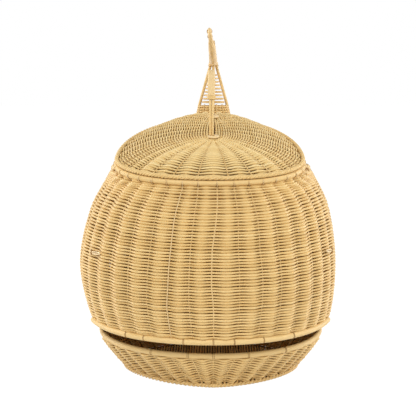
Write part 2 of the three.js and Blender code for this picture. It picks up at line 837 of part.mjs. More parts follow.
// Each eye is a small ring of cane tied on to the wall, with a short upright bar inside it.
function eyePieces(side) {
  const { point, outward, rising } = bodyFrameAt(angleAtSpread(side, eyeSpread, eyeHeight), eyeHeight);
  const centre = point.addScaledVector(outward, eyeCaneRadius + seatGap - eyeSeatDepth);
  const sideways = new THREE.Vector3().crossVectors(outward, rising).normalize();
  const ringAt = (turn) =>
    centre
      .clone()
      .addScaledVector(sideways, eyeRingRadius * Math.cos(2 * Math.PI * turn))
      .addScaledVector(rising, eyeRingRadius * Math.sin(2 * Math.PI * turn));
  const barHalf = eyeRingRadius - eyeCaneRadius - seatGap;
  const barAt = (t) => centre.clone().addScaledVector(rising, THREE.MathUtils.lerp(-barHalf, barHalf, t));
  return [
    caneLoop(ringAt, eyeCaneRadius, 20, caneSides, outward),
    caneLength(barAt, eyeBarRadius, 1),
  ];
}

const root = new THREE.Group();
const lid = new THREE.Group();
lid.position.set(0, rimCentre, rimHeightAt(rimCentre));
lid.rotation.x = rimTilt;
root.add(lid);

root.add(namedMesh("base_panel", basePanel()));
root.add(namedMesh("foot_border", footBorder()));
root.add(namedMesh("jaw_wall", jawWall()));
root.add(namedMesh("jaw_rim_cane", caneLoop(jawRimPoint, jawCaneRadius)));
root.add(namedMesh("upper_lip_cane", caneLoop(lipPoint, lipCaneRadius, ribSteps)));
const bodyParts = bodyPieces();
root.add(namedMesh("body_shell", bodyParts.belly));
root.add(namedMesh("shoulder_shell", bodyParts.shoulder));
root.add(namedMesh("tail_root_shell", bodyParts.tailRoot));
root.add(namedMesh("body_rim_cane", caneLoop(rimPoint, rimCaneRadius)));

[["left", -1], ["right", 1]].forEach(([name, side]) => {
  const [ring, bar] = eyePieces(side);
  root.add(namedMesh(`eye_ring_${name}`, ring, paleRattan));
  root.add(namedMesh(`eye_bar_${name}`, bar, darkRattan));
});

["front", "right", "rear", "left"].forEach((name, quarter) => {
  root.add(namedMesh(`tail_cane_${name}`, tailCane(quarter)));
});
for (let i = 0; i < slatCount; i++) {
  root.add(namedMesh(`tail_slat_${i + 1}`, tailSlat(i)));
}
root.add(namedMesh("tail_binding", tailBinding(), paleRattan));

const flukes = new THREE.Group();
flukes.position.set(0, tailApexCentre, tailApexHeight + seatGap);
flukes.rotation.y = THREE.MathUtils.degToRad(flukeLeanDegrees);
flukes.add(namedMesh("fluke_frame", flukeFrame()));
flukes.add(namedMesh("fluke_web", flukeWeb()));
flukes.add(namedMesh("fluke_side_cane_left", flukeSideCane(-1)));
flukes.add(namedMesh("fluke_side_cane_right", flukeSideCane(1)));
root.add(flukes);

lid.add(namedMesh("lid_shell", lidShell()));
lid.add(namedMesh("lid_border_cane", caneLoop(lidBorderPoint, lidCaneRadius)));
lid.add(namedMesh("lid_hub_front", hubBoss(-handleFootSpread), paleRattan));
lid.add(namedMesh("lid_hub_rear", hubBoss(handleFootSpread), paleRattan));
[["left", -1], ["right", 1]].forEach(([name, side]) => {
  const cane = caneLength((t) => handlePoint(t, side * handleSpacing), handleCaneRadius, 24);
  lid.add(namedMesh(`handle_cane_${name}`, cane));
});
const bindingEnds = [gripStart - bindingShare, gripStart - bindingGap];
const rearBindingEnds = bindingEnds.map((turn) => 1 - turn).reverse();
lid.add(namedMesh("handle_grip", handleWrap(gripStart, 1 - gripStart, gripWall, 14), paleRattan));
lid.add(namedMesh("handle_binding_front", handleWrap(...bindingEnds, bindingWall, 1)));
lid.add(namedMesh("handle_binding_rear", handleWrap(...rearBindingEnds, bindingWall, 1)));

export default root;
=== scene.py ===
import math

import bpy
import numpy as np
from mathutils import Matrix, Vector


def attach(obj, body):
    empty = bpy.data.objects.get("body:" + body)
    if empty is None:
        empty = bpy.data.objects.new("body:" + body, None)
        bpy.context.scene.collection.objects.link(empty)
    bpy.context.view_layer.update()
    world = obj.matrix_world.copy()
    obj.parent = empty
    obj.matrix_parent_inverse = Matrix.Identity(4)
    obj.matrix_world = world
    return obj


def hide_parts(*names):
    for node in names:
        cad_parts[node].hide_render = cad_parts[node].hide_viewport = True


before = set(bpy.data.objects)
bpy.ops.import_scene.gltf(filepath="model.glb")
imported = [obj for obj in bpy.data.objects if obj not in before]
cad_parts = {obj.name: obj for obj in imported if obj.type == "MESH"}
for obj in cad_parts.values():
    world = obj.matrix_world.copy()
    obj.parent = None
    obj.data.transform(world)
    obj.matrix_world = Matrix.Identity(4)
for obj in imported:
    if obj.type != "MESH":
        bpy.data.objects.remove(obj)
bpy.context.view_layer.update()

# Sizes in millimetres, as on the solid model; meshes are written in metres.
MM = 0.001
RIM_TILT = math.radians(12.8)
RIM_HALF_WIDTH, RIM_FRONT, RIM_REAR, RIM_FRONT_HEIGHT, RIM_LEAN = 120.5, -115, 155, 258.5, -4.5
RIM_CANE, LID_CANE, LIP_CANE, JAW_CANE, FOOT_CANE = 3.7, 3.2, 3.7, 3.6, 2.8
SEAT_GAP = 0.3
FOOT_HALF_WIDTH, FOOT_FRONT, FOOT_REAR = 115.5, -110, 124
JAW_HALF_WIDTH, JAW_FRONT, JAW_REAR, JAW_RIM_FRONT_HEIGHT = 146.5, -132, 160, 45.6
MOUTH_SLOPE = math.tan(math.radians(2.5))
LIP_FRONT, LIP_FRONT_HEIGHT, LIP_CORNER_FRONT, LIP_CORNER_REAR = -160, 68, -52, 22
JAW_FORM, BODY_FORM, RIM_FORM = [0, 0, 0.95, 0.95], [0, 0, 0.9, 0.9], [-3, 0.38, 0.88, 1]
rim_rear_height = RIM_FRONT_HEIGHT + math.tan(RIM_TILT) * (RIM_REAR - RIM_FRONT)


def jaw_rim_height_at(y):
    return JAW_RIM_FRONT_HEIGHT + MOUTH_SLOPE * (y - JAW_FRONT)


# Half width, front, rear, height at front and rear, then leans, waist and squareness.
BODY_STATIONS = np.array(
    [
        [138.5, -136, 145, jaw_rim_height_at(-136), jaw_rim_height_at(145), -3.5, *JAW_FORM],
        [161, LIP_FRONT, 172, 78, 78, -4, *JAW_FORM],
        [170.5, -172, 193, 145, 145, -7.3, *BODY_FORM],
        [160, -159, 201, 212, 212, -4.8, *BODY_FORM],
        [140.5, -139, 193, 240, 268, -3, *BODY_FORM],
        [124, -121, 174, 252, 303, -4, *RIM_FORM],
        [RIM_HALF_WIDTH, RIM_FRONT, RIM_REAR, RIM_FRONT_HEIGHT, rim_rear_height, RIM_LEAN, *RIM_FORM],
    ],
    float,
)
# Height, centre along y, half width and half depth.
TAIL_STATIONS = np.array(
    [
        [105, 88, 90, 88],
        [180, 146, 82, 68],
        [250, 186, 58, 50],
        [305, 204, 34, 33],
        [347, 211, 22.4, 23],
    ],
    float,
)
TAIL_APEX = np.array([408, 216, 5.3, 5.5])
TAIL_TOP_HEIGHT, TAIL_APEX_HEIGHT = 347.0, 408.0
TAIL_CANE, SLAT_CANE, SLAT_COUNT, SLAT_PITCH = 2.1, 1.3, 9, 5
# The root of the tail grows out of the body round an upright line through its core.
JOIN_HEIGHT, ROOT_HEIGHT = 302.0, 106
CORE = np.array([0.0, 20.0])
ROOT_BLEND, WELL_INSIDE = 9.0, 60

# The weave: row pitch and climb by height, the cane of the weavers, and the stakes they go round.
ROW_PITCH_HEIGHTS, ROW_PITCHES = [66, 94, 133, 182, 229], [3.5, 3.55, 3.7, 3.59, 3.32]
ROW_CLIMB_HEIGHTS, ROW_CLIMBS = [44, 66, 110, 180, 235], [2, 2.8, 4.6, 6.2, 8]
FIRST_ROW, LAST_ROW, LOWER_BAND_TOP, MIDDLE_BAND_TOP = 44.8, 284, 130, 205
DROOP, DROOP_ANGLE, DROOP_HEIGHT, DROOP_FADE = 2.6, 0.4, 76, 24
ROW_UNEVENNESS, CANE_UNEVENNESS, WIDEST = 0.13, 0.03, 1.22
WEAVER_RADIUS, WEAVE_DEPTH = 1.64, 1.9
FAT_STAKE, THIN_STAKE = 2.6, 0.8
BODY_COLUMNS, SAMPLES = 36, 12
rng = np.random.default_rng(7)


def soft_power(value, power):
    return np.sign(value) * np.abs(value) ** power


def oval_point(
    angle, half_width, front, rear, lean=0, rear_lean=0, waist=0, squareness=1, rear_squareness=None
):
    """Squared oval in plan; the angle is 0 at the nose and 90 degrees at +X."""
    if rear_squareness is None:
        rear_squareness = squareness
    c, s = np.cos(angle), np.sin(angle)
    power = np.where(c > 0, squareness, rear_squareness)
    half = (rear - front) / 2
    reach = half * np.where(c > 0, 1 - waist, 1 + waist)
    shift = lean * np.abs(s) ** 1.5 + rear_lean * np.minimum(0, c) ** 2
    x = half_width * soft_power(s, power) + shift
    y = (front + rear) / 2 - waist * half - reach * soft_power(c, power)
    return x, y


def curve_through(values, share):
    """Smooth curve through a column of stations, read by a share from 0 to 1."""
    last = len(values) - 1
    p = np.clip(share, 0, 1) * last
    i = np.minimum(np.floor(p).astype(int), last)
    w = p - i
    p0 = values[np.maximum(i - 1, 0)]
    p1 = values[i]
    p2 = values[np.minimum(i + 1, last)]
    p3 = values[np.minimum(i + 2, last)]
    v0, v1 = (p2 - p0) / 2, (p3 - p1) / 2
    return (2 * p1 - 2 * p2 + v0 + v1) * w**3 + (-3 * p1 + 3 * p2 - 2 * v0 - v1) * w**2 + v0 * w + p1


def rim_height_at(y):
    return RIM_FRONT_HEIGHT + math.tan(RIM_TILT) * (y - RIM_FRONT)


def body_point(share, angle):
    """Point of the body's surface, by a share up its wall from 0 to 1 and an angle from the nose."""
    columns = [curve_through(BODY_STATIONS[:, k], share) for k in range(BODY_STATIONS.shape[1])]
    half_width, front, rear, low, high, *form = columns
    x, y = oval_point(angle, half_width, front, rear, *form)
    climb = (y - front) / (rear - front)
    return x, y, low + (high - low) * climb


def smooth(t):
    t = np.clip(t, 0, 1)
    return t * t * (3 - 2 * t)


def nose_of(angle):
    """Angle from the nose, from minus to plus 180 degrees."""
    return (angle + np.pi) % (2 * np.pi) - np.pi


def column_angle(column):
    """Angle of a column of the weave: the weavers stand out over a stake at each whole column."""
    even = 2 * np.pi * (np.asarray(column, float) + 0.5) / BODY_COLUMNS
    return even - np.radians(3.0 * np.sin(2 * even) + 0.6 * np.sin(4 * even))


def twist(angle, height):
    """How far the columns of the weave lean to the right at a height, as an angle."""
    left = np.interp(height, [110, 140, 182, 235], [-0.4, 1.1, 1.9, 2.4])
    right = np.interp(height, [110, 140, 182, 235], [2.4, 2.0, 0.9, 1.2])
    middle = np.interp(height, [110, 140, 182, 235], [0.1, -0.5, -0.3, 1.4])
    across = np.sin(angle)
    side = np.where(across < 0, left, right)
    ahead = 0.5 + 0.5 * np.tanh(3 * np.cos(angle))
    return np.radians((middle + (side - middle) * smooth(np.abs(across) / 0.3)) * ahead)


def packing(column, tight=1.16, loose=0.82):
    """Thickness of a weaver: pressed wide over the hidden stakes, and thin between them."""
    return loose + (tight - loose) * (0.5 + 0.5 * np.cos(2 * np.pi * np.asarray(column, float))) ** 1.3


row_columns = np.arange(BODY_COLUMNS * SAMPLES) / SAMPLES
all_samples = len(row_columns)
row_angles = column_angle(row_columns)
body_levels = np.linspace(0, 1, 401)
body_grid = np.stack(body_point(*np.broadcast_arrays(body_levels[:, None], row_angles)), -1)


def on_body(height, index=None):
    """Points of the body's surface at a height, one for each column sample; height may vary by column."""
    index = np.arange(all_samples) if index is None else index
    height = np.broadcast_to(height, (len(index),))
    out = np.empty((len(index), 2))
    for n, i in enumerate(index):
        for k in (0, 1):
            out[n, k] = np.interp(height[n], body_grid[:, i, 2], body_grid[:, i, k])
    return out


def tail_size_at(height):
    h = np.asarray(height, float)
    shares = np.linspace(0, 1, 400)
    z = curve_through(TAIL_STATIONS[:, 0], shares)
    low = [np.interp(h, z, curve_through(TAIL_STATIONS[:, k], shares)) for k in (1, 2, 3)]
    up = np.clip((h - TAIL_TOP_HEIGHT) / (TAIL_APEX_HEIGHT - TAIL_TOP_HEIGHT), 0, 1)
    top = [TAIL_STATIONS[-1, k] + (TAIL_APEX[k] - TAIL_STATIONS[-1, k]) * up for k in (1, 2, 3)]
    return [np.where(h > TAIL_TOP_HEIGHT, t, l) for l, t in zip(low, top)]


def tail_point(height, angle, inset=0.0):
    centre, half_width, half_depth = tail_size_at(height)
    x = (half_width - inset) * np.sin(angle)
    y = centre - (half_depth - inset) * np.cos(angle)
    return np.stack(np.broadcast_arrays(x, y, np.asarray(height, float)), -1)


def with_tail(points, height):
    """The body's outline at a height, led out round the root of the tail."""
    height = np.broadcast_to(height, (len(points),))
    away = points - CORE
    reach = np.linalg.norm(away, axis=1)
    way = away / reach[:, None]
    centre, a, b = tail_size_at(height)
    q = centre - CORE[1]
    aa = way[:, 0] ** 2 / a**2 + way[:, 1] ** 2 / b**2
    bb = -2 * way[:, 1] * q / b**2
    cc = q**2 / b**2 - 1
    meets = bb**2 - 4 * aa * cc
    hidden = reach - WELL_INSIDE
    tail = np.where(meets > 0, (-bb + np.sqrt(np.maximum(meets, 0))) / (2 * aa), hidden)
    tail = np.where((height < ROOT_HEIGHT) | (tail < hidden), hidden, tail)
    joined = (reach + tail + np.sqrt((reach - tail) ** 2 + ROOT_BLEND**2)) / 2
    return CORE + way * (joined - ROOT_BLEND**2 / (4 * WELL_INSIDE))[:, None]


def flat_outward(points):
    """Outward directions of a closed outline in plan that runs counter-clockwise seen from above."""
    along = np.roll(points, -1, 0) - np.roll(points, 1, 0)
    out = np.stack([along[:, 1], -along[:, 0]], 1)
    return out / np.maximum(np.linalg.norm(out, axis=1), 1e-9)[:, None]


def lifted(flat, height=0.0):
    """Points or directions in plan, given a height."""
    return np.column_stack([flat, np.broadcast_to(height, (len(flat),))])


def kept_runs(keep, order):
    """The unbroken runs of an order of samples where each sample is kept."""
    runs = np.split(order, np.where(np.diff(keep[order].astype(int)) != 0)[0] + 1)
    return [run for run in runs if keep[run[0]]]


def cane(points, **facts):
    """One cane along a line of points; its strand number gives it its tone."""
    return {"points": points, "closed": False, **facts}


def ring(points, **facts):
    return cane(points, **facts) | {"closed": True}


def rope_lines(line, outward, strands, spread, turns, first):
    """Canes twisted round a closed line, a whole number of turns."""
    up = np.cross(outward, np.roll(line, -1, 0) - np.roll(line, 1, 0))
    up /= np.linalg.norm(up, axis=1)[:, None]
    made = []
    for strand in range(strands):
        turn = 2 * np.pi * (turns * np.arange(len(line)) / len(line) + strand / strands)
        away = outward * np.cos(turn)[:, None] + up * np.sin(turn)[:, None]
        points = line + spread * away
        made.append(ring(points, outward=away, strand=first + strand))
    return made


def tie(line, outward, at, radius, low, high, lean=0.0):
    """A thin cane laid over a thick one, from a low to a high angle round its section."""
    count = len(line)
    here = np.array([np.interp(at, np.arange(count), line[:, k], period=count) for k in range(3)])
    first = int(at) % count
    along = line[(first + 1) % count] - line[first]
    along /= np.linalg.norm(along)
    up = np.cross(outward[first], along)
    turn = np.radians(np.linspace(low, high, 9))[:, None]
    sideways = along * lean * np.linspace(1, 0, 9)[:, None]
    return here + radius * (outward[first] * np.cos(turn) + up * np.sin(turn)) + sideways


def lip_height_at(y):
    dip = smooth((y - LIP_CORNER_FRONT) / (LIP_CORNER_REAR - LIP_CORNER_FRONT))
    clear = LIP_FRONT_HEIGHT + MOUTH_SLOPE * (y - LIP_FRONT)
    return clear + (jaw_rim_height_at(y) + (JAW_CANE + LIP_CANE + SEAT_GAP) - clear) * dip


lip_flat = on_body(LIP_FRONT_HEIGHT)
for _ in range(6):
    lip_flat = on_body(lip_height_at(lip_flat[:, 1]))
lip_heights = lip_height_at(lip_flat[:, 1])
rim_line = np.stack(body_point(np.ones_like(row_angles), row_angles), -1)


# Node trees and meshes.
def feed(tree, socket, value):
    """Gives an input a plain value, or links it to the output of another node."""
    if isinstance(value, bpy.types.NodeSocket):
        tree.links.new(value, socket)
    else:
        socket.default_value = value


def node(tree, kind, feeds=None, **settings):
    made = tree.nodes.new(kind)
    for key, value in settings.items():
        setattr(made, key, value)
    for key, value in (feeds or {}).items():
        feed(tree, made.inputs[key], value)
    return made


def group_input(tree, name, kind, default=None, least=None):
    socket = tree.interface.new_socket(name=name, in_out="INPUT", socket_type=kind)
    if default is not None:
        socket.default_value = default
    if least is not None:
        socket.min_value = least
    return socket


def named_value(tree, name, kind="FLOAT"):
    read = node(tree, "GeometryNodeInputNamedAttribute", {"Name": name}, data_type=kind)
    return next(s for s in read.outputs if s.name == "Attribute" and s.enabled)


def stored(tree, geometry, name, value):
    feeds = {"Geometry": geometry, "Name": name, "Value": value}
    made = node(tree, "GeometryNodeStoreNamedAttribute", feeds, data_type="FLOAT", domain="POINT")
    return made.outputs["Geometry"]


def maths(tree, operation, *values):
    return node(tree, "ShaderNodeMath", dict(enumerate(values)), operation=operation).outputs[0]


def weaving_tree():
    """Canes along guide lines: they wave in and out by their column, and get a round section."""
    tree = bpy.data.node_groups.new("Woven cane", "GeometryNodeTree")
    tree.interface.new_socket(name="Geometry", in_out="OUTPUT", socket_type="NodeSocketGeometry")
    group_input(tree, "Geometry", "NodeSocketGeometry")
    group_input(tree, "Cane radius", "NodeSocketFloat", 0.0017, 0)
    group_input(tree, "Wave height", "NodeSocketFloat", 0.0018, 0)
    group_input(tree, "Section sides", "NodeSocketInt", 8, 3)
    group_input(tree, "Cane finish", "NodeSocketMaterial")
    given = node(tree, "NodeGroupInput").outputs
    outward, thickness = named_value(tree, "outward", "FLOAT_VECTOR"), named_value(tree, "thickness")
    lines = node(tree, "GeometryNodeMeshToCurve", {"Mesh": given["Geometry"]})
    turn = maths(tree, "MULTIPLY", named_value(tree, "column"), 2 * math.pi)
    wave = maths(tree, "MULTIPLY", maths(tree, "COSINE", turn), given["Wave height"])
    push = node(tree, "ShaderNodeVectorMath", {0: outward, "Scale": wave}, operation="SCALE")
    feeds = {"Geometry": lines.outputs["Curve"], "Offset": push.outputs[0]}
    place = node(tree, "GeometryNodeSetPosition", feeds)
    length = node(tree, "GeometryNodeSplineParameter").outputs["Length"]
    along = stored(tree, place.outputs["Geometry"], "along", length)
    width = node(tree, "GeometryNodeSetCurveRadius", {"Curve": along, "Radius": thickness})
    feeds = {"Resolution": given["Section sides"], "Radius": given["Cane radius"]}
    section = node(tree, "GeometryNodeCurvePrimitiveCircle", feeds, mode="RADIUS")
    round_share = node(tree, "GeometryNodeSplineParameter").outputs["Factor"]
    around = stored(tree, section.outputs["Curve"], "around", round_share)
    feeds = {"Curve": width.outputs["Curve"], "Profile Curve": around, "Fill Caps": True}
    sweep = node(tree, "GeometryNodeCurveToMesh", feeds)
    if "Scale" in sweep.inputs:
        feed(tree, sweep.inputs["Scale"], thickness)
    # Painted shade: how far each face turns away from the cane's outward side, stored so that the finish can
    # darken the hidden sides of the weavers.
    normal = node(tree, "GeometryNodeInputNormal").outputs["Normal"]
    facing = node(tree, "ShaderNodeVectorMath", {0: normal, 1: outward}, operation="DOT_PRODUCT")
    reach = node(tree, "ShaderNodeVectorMath", {0: outward}, operation="LENGTH")
    turned_away = maths(tree, "SUBTRACT", reach.outputs["Value"], facing.outputs["Value"])
    painted_shade_side = stored(tree, sweep.outputs["Mesh"], "painted_shade_side", turned_away)
    soft = node(tree, "GeometryNodeSetShadeSmooth", {"Geometry": painted_shade_side})
    single = node(tree, "GeometryNodeRealizeInstances", {"Geometry": soft.outputs["Geometry"]})
    feeds = {"Geometry": single.outputs["Geometry"], "Material": given["Cane finish"]}
    finish = node(tree, "GeometryNodeSetMaterial", feeds)
    node(tree, "NodeGroupOutput", {"Geometry": finish.outputs["Geometry"]})
    return tree


weaving = weaving_tree()


def guide_mesh(name, lines):
    """Guide lines as edges, with their outward direction, column, thickness and strand number."""
    points, edges, start = [], [], 0
    facts = {"outward": [], "column": [], "thickness": [], "strand": []}
    for number, line in enumerate(lines):
        count = len(line["points"])
        points.append(np.asarray(line["points"]) * MM)
        order = np.arange(count) + start
        pairs = np.stack([order[:-1], order[1:]], 1)
        if line["closed"]:
            pairs = np.vstack([pairs, [order[-1], order[0]]])
        edges.append(pairs)
        usual = {"outward": (0, 0, 0), "column": 0.25, "thickness": 1.0, "strand": number}
        for key, value in usual.items():
            shape = (count, 3) if key == "outward" else (count,)
            facts[key].append(np.broadcast_to(line.get(key, value), shape))
        start += count
    mesh = bpy.data.meshes.new(name + "_lines")
    mesh.from_pydata(np.vstack(points), np.vstack(edges).tolist(), [])
    for key, values in facts.items():
        kind, part = ("FLOAT_VECTOR", "vector") if key == "outward" else ("FLOAT", "value")
        layer = mesh.attributes.new(key, kind, "POINT")
        layer.data.foreach_set(part, np.concatenate(values).astype(np.float32).ravel())
    return mesh


def baked(name, lines, values):
    """Runs the weaving tree on guide lines and keeps the result as a plain mesh object."""
    guide = guide_mesh(name, lines)
    holder = bpy.data.objects.new(name + "_guide", guide)
    bpy.context.scene.collection.objects.link(holder)
    modifier = holder.modifiers.new("Making", "NODES")
    modifier.node_group = weaving
    for item in weaving.interface.items_tree:
        if item.item_type == "SOCKET" and item.in_out == "INPUT" and item.name in values:
            modifier[item.identifier] = values[item.name]
    deps = bpy.context.evaluated_depsgraph_get()
    mesh = bpy.data.meshes.new_from_object(holder.evaluated_get(deps), depsgraph=deps)
    bpy.data.objects.remove(holder)
    bpy.data.meshes.remove(guide)
    mesh.name = name
    made = bpy.data.objects.new(name, mesh)
    bpy.context.scene.collection.objects.link(made)
    if not mesh.materials:
        mesh.materials.append(values["Cane finish"])
    return made


def woven(name, lines, radius, finish, replaces=(), slot="rattan_cane", wave=0.0, sides=8, body="basket"):
    """A piece of cane, or of many canes; the radius and the wave are in millimetres."""
    values = {
        "Cane radius": radius * MM,
        "Wave height": wave * MM,
        "Section sides": sides,
        "Cane finish": finish,
    }
    made = baked(name, lines, values)
    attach(made, body)
    if replaces:
        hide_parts(*replaces)
    return made


# Finishes.
# Brown mixed in as painted shade on the hidden sides of the weavers.
PAINTED_SHADE_BROWN = (0.42, 0.20, 0.03, 1)


def cane_finish(name, light, deep, dark, rough=0.5, fibre=1.0, coat=0.12, shade=0.0, rib=0.0):
    """Rattan: each cane has its own tone, with fibres and stains along it and small dark nodes.

    The shade is painted shade: it darkens the sides of a weaver that its neighbours hide with brown,
    and faces turned inward a little less, and less so by the rib share where the weavers
    are pressed together over a stake.
    """
    finish = bpy.data.materials.new(name)
    finish.use_nodes = True
    tree = finish.node_tree

    def fact(key):
        return node(tree, "ShaderNodeAttribute", attribute_name=key).outputs["Fac"]

    def ranged(value, **limits):
        feeds = {"Value": value, **{key.replace("_", " ").title(): limit for key, limit in limits.items()}}
        kind = "SMOOTHSTEP" if "from_min" in limits else "LINEAR"
        return node(tree, "ShaderNodeMapRange", feeds, interpolation_type=kind).outputs[0]

    strand = fact("strand")
    place = {
        "X": maths(tree, "MULTIPLY", fact("around"), 6.0),
        "Y": maths(tree, "MULTIPLY", fact("along"), 26.0),
        "Z": maths(tree, "MULTIPLY", strand, 3.7),
    }
    place = node(tree, "ShaderNodeCombineXYZ", place).outputs[0]
    stains, fibres = (
        node(tree, "ShaderNodeTexNoise", {"Vector": place, "Scale": scale, "Detail": detail}).outputs["Fac"]
        for scale, detail in ((1.6, 4.0), (7.0, 3.0))
    )
    own = node(tree, "ShaderNodeTexWhiteNoise", {"W": strand}, noise_dimensions="1D").outputs["Value"]
    tone = maths(tree, "ADD", maths(tree, "MULTIPLY", stains, 0.75), maths(tree, "MULTIPLY", own, 0.3))
    ramp = node(tree, "ShaderNodeValToRGB", {"Fac": tone})
    first, last = ramp.color_ramp.elements
    first.position, first.color = 0.22, (*dark, 1)
    last.position, last.color = 0.8, (*light, 1)
    ramp.color_ramp.elements.new(0.45).color = (*deep, 1)
    colour = ramp.outputs["Color"]
    # Painted shade: brown mixed into the sides of a weaver that its neighbours hide.
    if shade:
        painted_shade_side = fact("painted_shade_side")
        hidden = ranged(painted_shade_side, from_min=0.3, from_max=0.85)
        wave = maths(tree, "COSINE", maths(tree, "MULTIPLY", fact("column"), 2 * math.pi))
        crest = maths(tree, "POWER", maths(tree, "MULTIPLY_ADD", wave, 0.5, 0.5), 2.2)
        open_share = maths(tree, "MULTIPLY_ADD", crest, -rib, 1.0)
        fading = maths(tree, "MULTIPLY_ADD", ranged(painted_shade_side, from_min=1.0, from_max=1.7), -0.3, 1.0)
        painted_shade_amount = maths(tree, "MULTIPLY", maths(tree, "MULTIPLY", hidden, open_share), shade)
        feeds = {0: maths(tree, "MULTIPLY", painted_shade_amount, fading), 6: colour, 7: PAINTED_SHADE_BROWN}
        colour = node(tree, "ShaderNodeMix", feeds, data_type="RGBA").outputs[2]
    grain = node(tree, "ShaderNodeBump", {"Height": fibres, "Strength": 0.35 * fibre, "Distance": 0.0004})
    feeds = {
        "Base Color": colour,
        "Roughness": ranged(fibres, to_min=rough - 0.1, to_max=rough + 0.14),
        "Normal": grain.outputs[0],
        "Coat Weight": coat,
        "Coat Roughness": 0.35,
        "Specular IOR Level": 0.45,
    }
    for key, value in feeds.items():
        feed(tree, tree.nodes["Principled BSDF"].inputs[key], value)
    return finish


WEAVER_TONES = (0.86, 0.63, 0.28), (0.76, 0.51, 0.19), (0.58, 0.35, 0.10)
STAKE_TONES = (0.80, 0.59, 0.28), (0.68, 0.45, 0.17), (0.50, 0.31, 0.09)
THIN_TONES = (0.82, 0.63, 0.34), (0.74, 0.52, 0.24), (0.56, 0.36, 0.14)
RIM_TONES = (0.84, 0.62, 0.29), (0.77, 0.53, 0.21), (0.57, 0.36, 0.12)
WRAP_TONES = (0.86, 0.67, 0.36), (0.80, 0.57, 0.27), (0.64, 0.42, 0.16)
LID_TONES = (0.90, 0.71, 0.351), (0.82, 0.59, 0.243), (0.64, 0.42, 0.126)
TIE_TONES = (0.42, 0.25, 0.09), (0.34, 0.19, 0.06), (0.22, 0.12, 0.03)
# Painted light: the base cane is coloured lighter than the weavers, standing in for light in the shaded
# inside of the mouth.
BASE_PAINTED_LIGHT_TONES = (1.0, 0.80, 0.42), (1.0, 0.72, 0.34), (0.88, 0.56, 0.22)
INNER_TONES = (0.96, 0.72, 0.36), (0.88, 0.58, 0.24), (0.66, 0.40, 0.13)
# Dark cane for the eye bars, and painted shade: the dark cross stakes under the base and the dark strand
# inside each eye loop.
DARK_AND_SHADE_TONES = (0.36, 0.20, 0.07), (0.25, 0.13, 0.04), (0.13, 0.06, 0.02)
# The weavers and the lid weavers carry painted shade on their hidden sides.
weaver_finish = cane_finish("Rattan weaver", *WEAVER_TONES, shade=0.86, rib=0.85)
stake_finish = cane_finish("Rattan stake", *STAKE_TONES, 0.55)
thin_finish = cane_finish("Thin pale stake", *THIN_TONES, 0.55)
rim_finish = cane_finish("Thick rim cane", *RIM_TONES, 0.54, coat=0.06)
wrap_finish = cane_finish("Wrapped cane strip", *WRAP_TONES, 0.42, fibre=0.8, coat=0.15)
lid_finish = cane_finish("Pale lid weaver", *LID_TONES, shade=0.95, rib=0.6)
tie_finish = cane_finish("Dark tie", *TIE_TONES, 0.6)
base_painted_light_finish = cane_finish("Base cane painted lighter", *BASE_PAINTED_LIGHT_TONES, 0.6)
inner_finish = cane_finish("Brown inner cane", *INNER_TONES, 0.6)
dark_and_shade_finish = cane_finish("Dark cane and painted shade", *DARK_AND_SHADE_TONES, 0.6, coat=0.0)

# Body rows, climbing a little towards the back, from the lip to the tilted rim.
row_heights = [FIRST_ROW]
while row_heights[-1] < LAST_ROW:
    row_heights.append(row_heights[-1] + float(np.interp(row_heights[-1], ROW_PITCH_HEIGHTS, ROW_PITCHES)))


def row_path(height, inset=0.0):
    """A row's outline and heights: it starts at a height at the nose and climbs towards the back."""
    climb = math.tan(math.radians(float(np.interp(height, ROW_CLIMB_HEIGHTS, ROW_CLIMBS))))
    heights = np.full(all_samples, float(height))
    for _ in range(5):
        flat = on_body(heights)
        heights = height + climb * (flat[:, 1] - flat[0, 1])
    if heights.max() < JOIN_HEIGHT:
        flat = with_tail(flat, heights)
    return flat - flat_outward(flat) * inset, heights


nose_angles = nose_of(row_angles)
behind = smooth((np.abs(nose_angles) - 1.5) / 0.3)
columns_per_angle = np.gradient(row_columns, row_angles)


def columns_at(height):
    """Column of the weave at each sample of a row, with the lean of the columns."""
    return row_columns - twist(row_angles, height) * columns_per_angle


def packing_at(columns):
    return packing(columns) * (1 - behind) + packing(columns, 1.24, 1.16) * behind


row_lines = {"lower": [], "middle": [], "upper": []}
for number, height in enumerate(row_heights):
    flat, heights = row_path(height)
    slope = np.linalg.norm(row_path(height + 2)[0] - flat, axis=1) / 2
    out = flat_outward(flat)
    # Over the middle of the mouth the lowest rows hang down a little.
    droop = DROOP * np.exp(-((nose_angles / DROOP_ANGLE) ** 2))
    droop = droop * np.exp(-max(height - DROOP_HEIGHT, 0) / DROOP_FADE)
    above_lip = heights - droop > lip_heights + LIP_CANE + WEAVER_RADIUS
    keep = above_lip & (heights < rim_line[:, 2] - RIM_CANE - 0.6)
    if keep.sum() < 6:
        continue
    jitter = rng.normal(0, ROW_UNEVENNESS, 8)
    bend = sum(jitter[k] * np.cos((k + 1) * row_angles + jitter[7 - k] * 40) for k in range(4))
    points = lifted(flat - out * (WEAVER_RADIUS + WEAVE_DEPTH), heights - droop + bend)
    columns = columns_at(heights)
    # Where the wall slopes, its rows lie further apart and their canes are wider.
    wide = np.clip(np.sqrt(1 + slope**2), 1, WIDEST) * packing_at(columns)
    thickness = wide * (1 + CANE_UNEVENNESS * rng.normal())
    facts = {"outward": lifted(out), "column": columns, "thickness": thickness}
    band = "lower" if height < LOWER_BAND_TOP else "middle" if height < MIDDLE_BAND_TOP else "upper"
    if keep.all():
        row_lines[band].append(ring(points, strand=number, **facts))
        continue
    start = int(np.argmax(keep & ~np.roll(keep, 1)))
    for run in kept_runs(keep, (np.arange(all_samples) + start) % all_samples):
        if len(run) > 5:
            line = {key: value[run] for key, value in facts.items()}
            row_lines[band].append(cane(points[run], strand=number, **line))

